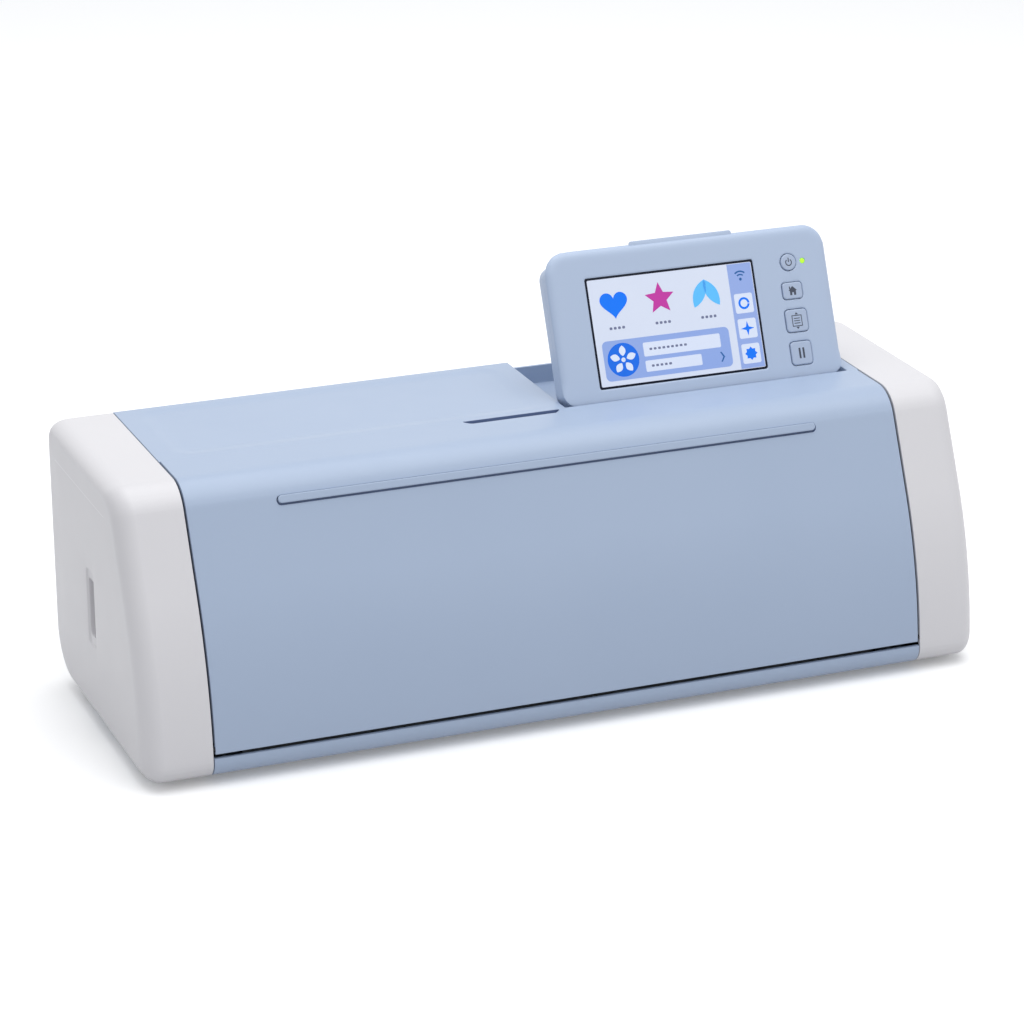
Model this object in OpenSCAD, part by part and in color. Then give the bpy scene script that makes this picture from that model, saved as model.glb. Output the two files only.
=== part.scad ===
// Electronic die cutting machine for paper crafts, raised touch panel, fold-down front cover.
// Millimetres, X right, Y to the back, Z up, origin on the table under the middle of the body.

/* [Body] */
// width over both end caps
body_w = 498; // [486:1:510]
// depth from the front lip to the rear cover
body_d = 178; // [176:1:184]
// height of the flat top above the table
body_h = 156.8; // [155:0.1:160]
// height of the feet under the base
foot_h = 4; // [3:0.5:5]
// radius of a foot
foot_r = 7; // [5:0.5:8]
// width of each end cap, side face to seam
cap_w = 38; // [37.8:0.1:38.4]
// wall of the moulded shells
wall = 2.2; // [2:0.1:2.4]
// wall of the end caps
cap_wall = 2.5; // [2:0.1:3]
// width of the soft edge of an end cap, measured from its side face
cap_soft = 11; // [10:0.5:12]
// how far the front of an end cap draws back at the side face
front_draw = 15; // [10:1:17]
// how far the rear of an end cap draws in at the side face
rear_draw = 1.5; // [1:0.5:3]
// how far the top of an end cap comes down at the side face
top_draw = 8.2; // [6:0.2:9]
// how far the underside of an end cap comes up at the side face
low_draw = 9; // [7:0.5:10]
// centre of a foot to the side face
foot_side = 12.5; // [11.5:0.5:14]
// centre of a front foot to the front lip
foot_front = 31; // [28:1:36]
// centre of a rear foot to the rear face
foot_rear = 36; // [32:1:40]

/* [Front cover] */
// slope of the flat face, degrees from level
face_slope = 66; // [64:1:68]
// radius of the top front corner
corner_r = 21; // [18:1:24]
// radius of the long lower bow of the face
bow_r = 250; // [240:5:280]
// height where the flat face runs into the bow
bow_z = 103; // [95:1:110]
// gap along the cover between cover and end cap
cover_gap = 1.3; // [1:0.1:1.5]
// line across the top where the front cover ends
seam_y = -2.8; // [-3.2:0.1:-2.6]
// lower edge of the front cover
cover_low_z = 18.8; // [18.6:0.1:19.2]
// hinge line of the front cover, height
cover_hinge_z = 21; // [20.8:0.1:21.2]
// radius of the hinge pins of the front cover
cover_pin_r = 1.25; // [1:0.05:1.3]
// length of the inlaid rib
rib_len = 319.3; // [250:1:340]
// centre line of the rib below the top corner, along the face
rib_drop = 14.4; // [12:0.2:18]
// height of the inlaid rib across the face
rib_h = 4.3; // [3:0.1:5]
// how far the rib stands proud
rib_proud = 1.2; // [0.8:0.1:1.4]
// length of the finger notch
notch_len = 57.6; // [40:1:80]
// middle of the finger notch
notch_x = -6.2; // [-20:1:20]

/* [Panel] */
// width of the operation panel
panel_w = 174.5; // [173:0.5:174.5]
// height of the panel face
panel_h = 88; // [86:0.5:88]
// depth of the panel
panel_d = 13.5; // [13:0.1:13.5]
// lean back from upright, degrees
panel_lean = 22.6; // [15:0.1:35]
// hinge line of the panel, depth position
panel_hinge_y = 3; // [2.9:0.1:3.2]
// hinge line of the panel below the flat top
panel_hinge_drop = 3.5; // [3.4:0.1:3.7]
// depth of the recess that the panel folds into
recess_depth = 14.3; // [14.3:0.1:14.6]
// radius of the panel hinge pins
panel_pin_r = 1; // [0.8:0.05:1.1]
// width of the screen picture
screen_w = 102.8; // [90:0.1:105]
// height of the screen picture
screen_h = 61.6; // [50:0.1:63]
// left edge of the panel to the screen picture
screen_side = 23.4; // [21:0.2:24]
// lower edge of the panel to the screen picture
screen_low = 8.76; // [8.5:0.1:10]
// width of the pull tab on the upper edge
tab_w = 64; // [40:1:80]
// travel of the buttons
button_travel = 1; // [0.6:0.1:1.2]
// gap round the buttons
button_gap = 0.3; // [0.3:0.05:0.5]

/* [Feed] */
// width of the cutting mat that passes through
mat_w = 330; // [320:1:332]
// height of the deck the mat runs on
deck_z = 45; // [44.5:0.1:45]
// radius of the feed roller
feed_r = 9; // [8.5:0.1:9]
// radius of the feed roller shaft
feed_shaft_r = 4; // [3:0.1:4.5]
// radius of the pinch rollers
pinch_r = 5; // [4.5:0.1:5]
// radius of the pinch shaft
pinch_shaft_r = 3; // [2:0.1:3.2]
// running clearance of shafts in their bushes
run_fit = 0.05; // [0.03:0.01:0.09]
// module of the feed gears
gear_m = 1; // [1:0.1:1]
// teeth of the large feed gear
gear_teeth = 42; // [42:1:42]
// teeth of the motor pinion
pinion_teeth = 18; // [18:1:18]

/* [Carriage] */
// radius of the guide rod
rod_r = 5; // [4:0.1:5.5]
// guide rod below the top edge of the side frames
rod_drop = 44.5; // [44:0.1:45]
// centre of the parked carriage to the right side frame
park_gap = 36; // [36:1:100]
// width of the carriage
carriage_w = 46; // [44:1:50]
// position of the blade in depth
blade_y = -29; // [-30:0.1:-28.5]
// radius of the blade holder
holder_r = 8; // [7:0.1:8]
// cutting stroke of the tool block
cut_stroke = 6; // [4:0.5:6]
// effective radius of the belt pulleys
pulley_r = 6; // [5.5:0.1:6]

/* [Hidden] */

eps = 0.01;
fine = 72;

blue = [0.66, 0.74, 0.86];
deep_blue = [0.52, 0.62, 0.78];
white_shell = [0.90, 0.90, 0.92];
steel = [0.66, 0.68, 0.70];
dark = [0.14, 0.15, 0.17];
grey = [0.55, 0.56, 0.58];
board_green = [0.12, 0.36, 0.22];
brass_col = [0.80, 0.66, 0.34];
screen_white = [0.90, 0.90, 0.97];
lever_blue = [0.35, 0.50, 0.75];

half_w = body_w / 2;
half_d = body_d / 2;
mid_w = half_w - cap_w;
cap_x = mid_w + 0.5;
cover_x = cap_x - cover_gap;
base_z = foot_h;
floor_t = 2.5;
floor_z = base_z + floor_t;
lip_r = 10.4;
lip_z = base_z + lip_r;
lip_top_z = 16.3;
heel_r = 25;
heel_z = base_z + heel_r;

// the side outline of the front: flat top, corner arc, flat face, long bow
bow_cz = bow_z - bow_r * cos(face_slope);
bow_cy = -half_d + sqrt(bow_r * bow_r - (lip_z - bow_cz) * (lip_z - bow_cz));
flat_end_y = bow_cy - bow_r * sin(face_slope);
corner_y = flat_end_y + (body_h - bow_z) / tan(face_slope);
corner_cy = corner_y + corner_r * tan(face_slope / 2);
corner_cz = body_h - corner_r;
turn = 90 + face_slope;

// rib on the flat face, just under the corner
rib_y = corner_y - rib_drop * cos(face_slope);
rib_z = body_h - rib_drop * sin(face_slope);
rib_off = 0.45;
rib_seat = 1;
rib_gap = 0.35;

// finger notch in the rear edge of the cover
notch_deep = 1.6;
notch_wide = 3.4;
notch_end = 5;

cover_hinge_y = -half_d + 2.4;
cover_knuckle_r = 2.4;
cover_knuckle_x = mid_w - 15;
cover_ear_x = cap_x + 5;
liner_in = 5;
liner_t = 1.8;
liner_low_z = 30;
liner_x = mid_w - 7;
liner_web_gap = (liner_x - 18) / 3;

// side frames and what stands on the base
frame_x = mid_w - 5;
frame_t = 1.5;
flange_w = 12;
screw_x = frame_x - 6;
screw_y0 = -half_d + 59;
screw_y1 = half_d - 39;
screw_r = 1.5;
screw_head_r = 3;
rear_in_y = half_d - wall;
inner_x = frame_x - 16;
pad_x = half_w - 5.5;
pad_y0 = -half_d + 19.5;
pad_y1 = half_d - 27.5;
post_r = 3;
board_z = 12;
board_t = 1.6;
board_y0 = 20;
board_y1 = 59;
board_posts = [-140, -30, 50, 150];

// recess of the panel in the top cover
recess_side = 0.8;
recess_x1 = mid_w - 7;
recess_x0 = recess_x1 - panel_w - 2 * recess_side;
recess_y0 = panel_hinge_y - 3.7;
recess_y1 = half_d - 3.2;
recess_z = body_h - recess_depth;
recess_floor_t = 2;
recess_back_z = body_h - 3.8;
frame_top_z = recess_z - recess_floor_t;
skirt_z = body_h - 5.8;
rib_low_z = body_h - 10.8;
seam_gap = 0.4;
panel_hinge_z = body_h - panel_hinge_drop;

// shallow dish in the left of the top cover
dish_deep = 0.8;
dish_x0 = -mid_w + 15;
dish_x1 = recess_x0 - 14.5;
dish_y0 = 6;
dish_y1 = half_d - 9;
dish_r = 6;

// slot where the mat leaves, vents and inlet in the rear cover
slot_half = mat_w / 2;
slot_z0 = deck_z - 1;
slot_z1 = deck_z + 11;
vent_w = 3;
vent_gap = 7;
vent_z0 = 90;
vent_z1 = body_h - 30.8;
rear_screw_z = [72, body_h - 34.8];
inlet_x = inner_x - 12;
inlet_z = 75;
inlet_w = 20;
inlet_h = 12;

// upright recess with the socket in the left end cap
port_y = 11;
port_z = 71.75;
port_in = 10.5;
socket_y = 3.25;
socket_z = 7;
socket_mid_z = 69;

// panel frame: X along, Y into the panel, Z up the panel, origin on the hinge line
panel_x = (recess_x0 + recess_x1) / 2;
panel_x0 = panel_x - panel_w / 2;
panel_x1 = panel_x + panel_w / 2;
face_y = -3.2;
panel_s0 = 1;
panel_s1 = panel_s0 + panel_h;
panel_back_y = face_y + panel_d;
deep_s1 = panel_s1 - 6.7;
rim_t = 3;
shell_t = 1.8;
low_round = 8;
top_round = 13;
deep_round = 5;
tab_h = 1.8;
tab_x0 = panel_x0 + 53.3;
face_t = 2;
split_y = 3.3;
ledge_y = face_y + face_t;
screen_x = panel_x0 + screen_side + screen_w / 2;
screen_s = panel_s0 + screen_low + screen_h / 2;
line_w = 1.1;
knuckle_r = 2;
knuckle_x0 = panel_x0 + 22.5;
knuckle_x1 = knuckle_x0 + 12;
ear_t = 3.1;
ear_gap = 0.4;
hinge_sides = [0, 1];
lcd_side = 5.6;
keys_left = 0.75;
buttons_x = (screen_x + screen_w / 2 + panel_x1) / 2 - keys_left;
power_s = panel_s0 + 67.16;
home_s = panel_s0 + 50.56;
feed_s = panel_s0 + 33.06;
pause_s = panel_s0 + 14.06;
power_r = 4.75;
home_size = [12.3, 9.5];
feed_size = [13.5, 13];
pause_size = [13, 13.5];
key_round = 2;
key_proud = 0.6;
key_flange = 1;
lamp_x = buttons_x + 9.1;
lamp_r = 1.5;
board_y = 2.4;
keyboard_x0 = screen_x + screen_w / 2 + lcd_side + 4.5;
keyboard_x1 = panel_x1 - 11;
panel_screw_x = [panel_x0 + 7, panel_x1 - 7];
panel_screw_s = [panel_s0 + 11, deep_s1 - 8.3];
panel_screw_r = 1.4;

// feed train
feed_z = deck_z + 0.2 - feed_r;
pinch_z = deck_z + 0.8 + pinch_r;
gear_dist = gear_m * (gear_teeth + pinion_teeth) / 2;
pinion_dir = -20.5;
pinion_y = gear_dist * cos(pinion_dir);
pinion_z = feed_z + gear_dist * sin(pinion_dir);
gear_x = frame_x + 8;
gear_w = 6;
deck_slot = 7;
deck_t = 2;
deck_x = frame_x - 3;
deck_y0 = -half_d + 17;
deck_y1 = half_d - 19;
roller_x = slot_half + 5;
pinch_len = 20;
pinch_pitch = 100;
strip_w = 5;
strip_t = 1.5;
feed_bush_r = 6.5;
pinch_bush_r = 5;
motor_r = 14;
motor_boss_r = 5;
motor_len = 34;
spindle_r = 1.5;

// carriage
guide_z = frame_top_z - rod_drop;
beam_y0 = 18;
beam_y1 = 30;
beam_t = 1.5;
beam_boss_r = 4;
beam_z0 = guide_z - 12;
beam_z1 = guide_z + 34;
beam_lip_z = guide_z + 40;
belt_y0 = 10;
belt_y1 = 16;
belt_t = 1.2;
belt_gap = 0.3;
belt_x = inner_x;
belt_z = guide_z + 20;
flange_t = 1;
park_x = frame_x - park_gap;
carriage_y = 8;
carriage_z0 = guide_z - 18;
carriage_z1 = guide_z + 30;
hook_z = beam_lip_z + 2.4;
bush_r = rod_r + 2;
bush_len = 12;
slide_rod_x = 12;
slide_rod_y = -14;
slide_rod_r = 2;
bridge_w = 34;
tool_z0 = guide_z - 7.2;
tool_z1 = guide_z + 25.4;
boss_z0 = deck_z + 21;
boss_z1 = guide_z + 2;
boss_r = holder_r + 3;
blade_r = 1;
tip_z = deck_z + 0.8 + cut_stroke;
lever_y = -13.5;
lever_z = guide_z + 14;
lever_x = bridge_w / 2 + 0.4;
lever_t = 2;
lever_pin_r = 1.4;
lever_reach = 31.5;
grip_z0 = guide_z - 14;
grip_z1 = guide_z - 5;

// contact image sensor over the mat, behind the beam
scan_y0 = 34;
scan_y1 = 58;
scan_z0 = deck_z + 5;
scan_z1 = deck_z + 27;
scan_x = slot_half + 7;
scan_wall = 4;

function arc(c, r, a0, a1, n) =
  [for (i = [0:n]) [c[0] + r * cos(a0 + (a1 - a0) * i / n), c[1] + r * sin(a0 + (a1 - a0) * i / n)]];
function flip(v) = [for (i = [len(v) - 1:-1:0]) v[i]];
function bow_end(t, z) = 180 - asin((z - bow_cz) / (bow_r - t));
// outline of the front from the line y0 on top down to the height z1, drawn in by t
function front_line(t, y0, z1) = concat(
  [[y0, body_h - t]],
  arc([corner_cy, corner_cz], corner_r - t, 90, turn, 14),
  arc([bow_cy, bow_cz], bow_r - t, turn, bow_end(t, z1), 12));
function cap_heel(t) = max(3 - t, 0.3);
function cap_outline(t) = concat(
  front_line(t, half_d - t - cap_heel(t), lip_z),
  arc([-half_d + lip_r, lip_z], lip_r - t, 180, 270, 8),
  arc([half_d - heel_r, heel_z], heel_r - t, 270, 360, 12),
  arc([half_d - t - cap_heel(t), body_h - t - cap_heel(t)], cap_heel(t), 0, 90, 3));
// share k of the draw at the side face, each edge by its own amount
function draw_in(v, k) = [for (p = v) [
  -half_d + front_draw * k + (p[0] + half_d) * (1 - (front_draw + rear_draw) * k / body_d),
  base_z + low_draw * k + (p[1] - base_z) * (1 - (top_draw + low_draw) * k / (body_h - base_z))]];

module along_x(x0, x1) {
  translate([x0, 0, 0])
    rotate([90, 0, 90])
      linear_extrude(x1 - x0)
        children();
}

module rod_x(x0, x1, y, z, r) {
  translate([x0, y, z])
    rotate([0, 90, 0])
      cylinder(h = x1 - x0, r = r, $fn = fine);
}

module rod_y(y0, y1, x, z, r) {
  translate([x, y0, z])
    rotate([-90, 0, 0])
      cylinder(h = y1 - y0, r = r, $fn = fine);
}

module rod_z(z0, z1, x, y, r) {
  translate([x, y, z0])
    cylinder(h = z1 - z0, r = r, $fn = fine);
}

module block(x0, x1, y0, y1, z0, z1) {
  translate([x0, y0, z0])
    cube([x1 - x0, y1 - y0, z1 - z0]);
}

// upright rounded plate in the panel frame
module plate(x0, x1, s0, s1, y0, y1, r) {
  translate([0, y1, 0])
    rotate([90, 0, 0])
      linear_extrude(y1 - y0)
        union() {
          translate([x0 + r, s0])
            square([x1 - x0 - 2 * r, s1 - s0]);
          translate([x0, s0 + r])
            square([x1 - x0, s1 - s0 - 2 * r]);
          for (x = [x0 + r, x1 - r])
            for (s = [s0 + r, s1 - r])
              translate([x, s])
                circle(r = r, $fn = fine);
        }
}

// the panel outline has wider rounding at the top than at the bottom
module panel_plate(in, s1, y0, y1, r_top) {
  x0 = panel_x - panel_w / 2 + in;
  x1 = panel_x + panel_w / 2 - in;
  s0 = panel_s0 + in;
  r_low = low_round - in;
  translate([0, y1, 0])
    rotate([90, 0, 0])
      linear_extrude(y1 - y0)
        union() {
          translate([x0, s0 + r_low])
            square([x1 - x0, s1 - s0 - r_low - r_top]);
          translate([x0 + r_low, s0])
            square([x1 - x0 - 2 * r_low, r_low + 1]);
          translate([x0 + r_top, s1 - r_top - 1])
            square([x1 - x0 - 2 * r_top, r_top + 1]);
          for (x = [x0 + r_low, x1 - r_low])
            translate([x, s0 + r_low])
              circle(r = r_low, $fn = fine);
          for (x = [x0 + r_top, x1 - r_top])
            translate([x, s1 - r_top])
              circle(r = r_top, $fn = fine);
        }
}

module in_panel() {
  translate([0, panel_hinge_y, panel_hinge_z])
    rotate([-panel_lean, 0, 0])
      children();
}

module on_face() {
  translate([0, rib_y, rib_z])
    rotate([face_slope, 0, 0])
      children();
}

module capsule(len, h) {
  square([len - h, h], center = true);
  for (s = [-1, 1])
    translate([s * (len - h) / 2, 0])
      circle(d = h, $fn = fine);
}

// ---- base ----

module base_tray() {
  color(blue)
    difference() {
      union() {
        along_x(-mid_w, mid_w)
          difference() {
            polygon(concat(
              [[-half_d + 0.03, lip_top_z]],
              arc([-half_d + lip_r, lip_z], lip_r, 180, 270, 10),
              arc([half_d - heel_r, heel_z], heel_r, 270, 360, 16)));
            polygon(concat(
              [[-half_d + floor_t + 0.03, lip_top_z + 20]],
              arc([-half_d + lip_r, lip_z], lip_r - floor_t, 180, 270, 10),
              arc([half_d - heel_r, heel_z], heel_r - floor_t, 270, 360, 16),
              [[half_d - floor_t, heel_z + 20]]));
          }
        for (s = [0, 1])
          mirror([s, 0, 0])
            block(mid_w - 1, pad_x, pad_y0, pad_y1, base_z, floor_z);
        for (x = board_posts)
          for (y = [board_y0 + 4, board_y1 - 3])
            rod_z(floor_z - eps, board_z, x, y, post_r);
      }
      for (x = [-screw_x, screw_x])
        for (y = [screw_y0, screw_y1])
          rod_z(base_z - 1, floor_z + 1, x, y, screw_r);
      for (i = [-6:6])
        block(i * 16 - 3, i * 16 + 3, 26, 54, base_z - 1, floor_z + 1);
    }
}

module rubber_feet() {
  color(dark)
    for (x = [foot_side - half_w, half_w - foot_side])
      for (y = [foot_front - half_d, half_d - foot_rear])
        translate([x, y, 0])
          cylinder(h = foot_h, r1 = foot_r - 0.8, r2 = foot_r, $fn = fine);
}

module base_screws() {
  color(steel)
    for (x = [-screw_x, screw_x])
      for (y = [screw_y0, screw_y1]) {
        rod_z(base_z - 1.6, base_z, x, y, screw_head_r);
        rod_z(base_z - eps, floor_z + 6, x, y, screw_r);
      }
}

// ---- end caps ----

module cap_body(in) {
  round_x = half_w - cap_soft;
  hull()
    for (i = [0:7]) {
      a = i * 90 / 7;
      x = round_x + cap_soft * sin(a) - (i > 0 ? in : 0);
      along_x(i == 0 ? cap_x - (in > 0 ? 5 : 0) : x - eps, i == 0 ? round_x - in : x)
        polygon(draw_in(cap_outline(in), 1 - cos(a)));
    }
}

module end_cap() {
  difference() {
    union() {
      difference() {
        cap_body(0);
        cap_body(cap_wall);
        block(cap_x - 5, pad_x + 0.5, pad_y0 - 0.5, pad_y1 + 0.5, 0, floor_z + 9.5);
        rod_x(half_w - 13, half_w + 5, 7, base_z - 31, 38);
      }
      intersection() {
        cap_body(0);
        block(cap_x, cover_ear_x, -half_d - 6, -half_d + 9, lip_z - 0.4, cover_hinge_z + 7);
      }
      for (p = [[half_d - 25, body_h - 28.8], [half_d - 33, 30], [33 - half_d, 34], [-10, body_h - 24.8]])
        rod_x(frame_x + frame_t, half_w - 1, p[0], p[1], 4);
    }
    rod_x(cap_x - 1, cap_x + 4, cover_hinge_y, cover_hinge_z, cover_pin_r + run_fit);
  }
}

// sizes of the recess, widest first: half depth, half height and how deep it goes in
module port_space(hy, hz, deep) {
  block(-half_w - 1, -half_w + deep, port_y - hy, port_y + hy, port_z - hz, port_z + hz);
}

module left_end_cap() {
  color(white_shell)
    difference() {
      union() {
        mirror([1, 0, 0])
          end_cap();
        block(-half_w + 1, -half_w + port_in + 3, port_y - 9.5, port_y + 9.5, port_z - 24.5, port_z + 24.5);
      }
      port_space(7, 22, 1.6);
      port_space(5, 16.75, port_in);
      block(-half_w - 1, -half_w + 20, port_y - socket_y, port_y + socket_y,
        socket_mid_z - socket_z, socket_mid_z + socket_z);
    }
}

module right_end_cap() {
  color(white_shell)
    end_cap();
}

// ---- top and back ----

module top_cover() {
  front_y = seam_y + seam_gap;
  color(blue)
    difference() {
      union() {
        along_x(-mid_w, mid_w) {
          translate([front_y, body_h - wall])
            square([half_d - 2 - front_y, wall]);
          translate([rear_in_y, skirt_z])
            square([wall, body_h - 2 - skirt_z]);
          translate([half_d - 2, body_h - 2])
            circle(r = 2, $fn = fine);
        }
        block(-mid_w, recess_x0, front_y, recess_y0, rib_low_z, body_h - 1);
        for (s = [0, 1])
          mirror([s, 0, 0])
            block(mid_w - wall, mid_w, front_y, rear_in_y - 0.3, rib_low_z, body_h - 1);
        block(-frame_x - frame_t, -frame_x + 0.5, 4, half_d - 9, frame_top_z, body_h - 1);
        block(recess_x0 - wall, recess_x1 + wall, front_y, rear_in_y,
          recess_z - recess_floor_t, body_h - 0.5);
      }
      block(recess_x0, recess_x1, recess_y0, recess_y1, recess_z, body_h + 1);
      block(recess_x0, recess_x1, recess_y1 - 1, half_d + 1, recess_back_z, body_h + 1);
      translate([0, 0, body_h - dish_deep])
        linear_extrude(2)
          dish();
      block(recess_x1 + wall, mid_w - wall, 0, half_d - 5, frame_top_z - 1.5, body_h - wall);
    }
  color(blue)
    difference() {
      for (k = hinge_sides)
        other_end(k)
          for (x = [knuckle_x0 - ear_gap - ear_t, knuckle_x1 + ear_gap]) {
            rod_x(x, x + ear_t, panel_hinge_y, panel_hinge_z, knuckle_r);
            block(x, x + ear_t, recess_y0 - eps, panel_hinge_y, panel_hinge_z - knuckle_r,
              panel_hinge_z + knuckle_r);
          }
      rod_x(recess_x0, recess_x1, panel_hinge_y, panel_hinge_z, panel_pin_r);
    }
}

module dish() {
  translate([dish_x0, dish_y0 + dish_r])
    square([dish_x1 - dish_x0, dish_y1 - dish_y0 - 2 * dish_r]);
  translate([dish_x0 + dish_r, dish_y0])
    square([dish_x1 - dish_x0 - 2 * dish_r, dish_y1 - dish_y0]);
  for (x = [dish_x0 + dish_r, dish_x1 - dish_r])
    for (y = [dish_y0 + dish_r, dish_y1 - dish_r])
      translate([x, y])
        circle(r = dish_r, $fn = fine);
}

module panel_hinge_pins() {
  color(steel)
    for (k = hinge_sides)
      other_end(k)
        rod_x(knuckle_x0 - ear_gap - ear_t, knuckle_x1 + ear_gap + ear_t,
          panel_hinge_y, panel_hinge_z, panel_pin_r);
}

module rear_screw_shape(x, z) {
  rod_y(rear_in_y - 6, half_d, x, z, screw_r);
  translate([x, half_d - 1.8, z])
    rotate([-90, 0, 0])
      cylinder(h = 1.8, r1 = screw_r, r2 = screw_head_r, $fn = fine);
}

module rear_cover() {
  color(blue)
    difference() {
      union() {
        block(-mid_w, mid_w, rear_in_y, half_d, heel_z, skirt_z);
        for (s = [0, 1])
          mirror([s, 0, 0])
            block(mid_w - wall, mid_w, rear_in_y - 6, rear_in_y + 1, heel_z, frame_top_z - 0.5);
        block(-slot_half - 3, slot_half + 3, rear_in_y - 8, rear_in_y + 1, slot_z1, slot_z1 + 2);
      }
      block(-slot_half, slot_half, rear_in_y - 1, half_d + 1, slot_z0, slot_z1);
      for (i = [0:17])
        translate([i * vent_gap - inner_x, 0, 0])
          block(0, vent_w, rear_in_y - 1, half_d + 1, vent_z0, vent_z1);
      inlet_block(inlet_w, inlet_h, rear_in_y - 1, half_d + 1);
      for (x = [-screw_x, screw_x])
        for (z = rear_screw_z)
          rear_screw_shape(x, z);
    }
}

module rear_cover_screws() {
  color(steel)
    for (x = [-screw_x, screw_x])
      for (z = rear_screw_z)
        difference() {
          rear_screw_shape(x, z);
          block(x - 2, x + 2, half_d - 0.7, half_d + 1, z - 0.4, z + 0.4);
        }
}

module inlet_block(w, h, y0, y1) {
  block(inlet_x - w / 2, inlet_x + w / 2, y0, y1, inlet_z - h / 2, inlet_z + h / 2);
}

module power_inlet() {
  socket_r = 3.6;
  pin_x = 4;
  color(dark)
    difference() {
      union() {
        inlet_block(inlet_w, inlet_h, rear_in_y - 16, half_d);
        inlet_block(inlet_w + 4, inlet_h + 4, rear_in_y - 2, rear_in_y);
      }
      for (x = [inlet_x - pin_x, inlet_x + pin_x])
        rod_y(half_d - 12, half_d + 1, x, inlet_z, socket_r);
      inlet_block(2 * pin_x, 2 * socket_r, half_d - 12, half_d + 1);
    }
  color(steel)
    for (x = [inlet_x - pin_x + 0.4, inlet_x + pin_x - 0.4])
      rod_y(half_d - 12, half_d - 3, x, inlet_z, 1.2);
}

// ---- chassis ----

module side_frame() {
  difference() {
    union() {
      along_x(frame_x, frame_x + frame_t)
        polygon([[19 - half_d, floor_z], [half_d - 29, floor_z], [rear_in_y, 36],
          [rear_in_y, frame_top_z], [73 - half_d, frame_top_z], [51 - half_d, frame_top_z - 7.5],
          [19 - half_d, 50], [15 - half_d, 30]]);
      block(frame_x - flange_w, frame_x + eps, 29 - half_d, half_d - 29, floor_z, floor_z + frame_t);
      block(frame_x - flange_w, frame_x + eps, rear_in_y - frame_t, rear_in_y, 60, frame_top_z - 8.5);
    }
    rod_x(frame_x - 1, frame_x + 3, 0, feed_z, feed_bush_r);
    rod_x(frame_x - 1, frame_x + 3, 0, pinch_z, pinch_bush_r);
    rod_x(frame_x - 1, frame_x + 3, 0, guide_z, rod_r);
    rod_x(frame_x - 1, frame_x + 3, scan_y1 - 2, scan_z0 + 12, 6);
    for (y = [screw_y0, screw_y1])
      rod_z(floor_z - 1, floor_z + 3, screw_x, y, screw_r);
    for (z = rear_screw_z)
      rod_y(rear_in_y - 3, rear_in_y + 1, screw_x, z, screw_r);
  }
}

module left_side_frame() {
  color(steel)
    difference() {
      mirror([1, 0, 0])
        side_frame();
      rod_x(-frame_x - 3, -frame_x + 1, pinion_y, pinion_z, motor_boss_r);
    }
}

module right_side_frame() {
  color(steel)
    side_frame();
}

// flat deck with two legs along it that stand on the base
module deck(x1, y0, y1) {
  block(-x1, x1, y0, y1, deck_z - deck_t, deck_z);
}

module leg(x1, y) {
  block(-x1, x1, y, y + deck_t, floor_z, deck_z - 1);
}

module front_deck() {
  color(grey)
    difference() {
      union() {
        deck(deck_x, deck_y0, -deck_slot);
        leg(inner_x, deck_y0);
        leg(inner_x, -deck_slot - 7);
        for (x = [-150, 0, 150])
          block(x - 1, x + 1, deck_y0 + 1, -deck_slot - 6, floor_z, deck_z - 1);
      }
      strip_space(deck_z + 1);
    }
}

module strip_space(z1) {
  block(-roller_x, roller_x, blade_y - strip_w / 2, blade_y + strip_w / 2, deck_z - strip_t, z1);
}

module cutting_strip() {
  color(white_shell)
    strip_space(deck_z);
}

module rear_deck() {
  color(grey)
    union() {
      deck(deck_x, deck_slot, deck_y1);
      block(-inner_x, inner_x, deck_y1 - 1, rear_in_y - 0.3, deck_z - 3, deck_z - 1);
      leg(roller_x, deck_slot + 5);
      leg(inner_x, deck_y1 - 10);
    }
}

module main_beam() {
  color(steel)
    difference() {
      union() {
        block(-frame_x, frame_x, beam_y1 - beam_t, beam_y1, beam_z0, beam_z1);
        for (z = [beam_z0, beam_z1 - beam_t])
          block(-frame_x, frame_x, beam_y0, beam_y1, z, z + beam_t);
        block(-frame_x, frame_x, beam_y0, beam_y0 + beam_t, beam_z1 - beam_t, beam_lip_z);
      }
      rod_y(beam_y1 - 3, beam_y1 + 1, belt_x, belt_z, beam_boss_r);
    }
}

module guide_rod() {
  color(steel)
    rod_x(-frame_x - frame_t, frame_x + frame_t, 0, guide_z, rod_r);
}

module shaft_bushes() {
  color(brass_col)
    for (s = [0, 1])
      mirror([s, 0, 0])
        for (b = [[feed_z, feed_bush_r, 7.2, feed_shaft_r], [pinch_z, pinch_bush_r, 6, pinch_shaft_r]])
          difference() {
            union() {
              rod_x(frame_x - 1.5, frame_x, 0, b[0], b[2]);
              rod_x(frame_x - eps, frame_x + 3, 0, b[0], b[1]);
            }
            rod_x(frame_x - 3, frame_x + 5, 0, b[0], b[3] + run_fit);
          }
}

module carriage_motor() {
  color(dark)
    difference() {
      union() {
        rod_y(beam_y1, beam_y1 + motor_len - 4, belt_x, belt_z, motor_r);
        rod_y(beam_y1 - beam_t, beam_y1 + eps, belt_x, belt_z, beam_boss_r);
      }
      rod_y(beam_y1 - 3, beam_y1 + 10, belt_x, belt_z, spindle_r + run_fit);
    }
}

module idler_bracket() {
  plate_y = beam_y1 - beam_t - 2;
  color(steel)
    union() {
      block(-belt_x - 12, -belt_x + 9, plate_y, plate_y + 2, belt_z - 8, belt_z + 8);
      rod_y(belt_y0 - 0.6 - flange_t, plate_y + 1, -belt_x, belt_z, spindle_r);
    }
}

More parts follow.
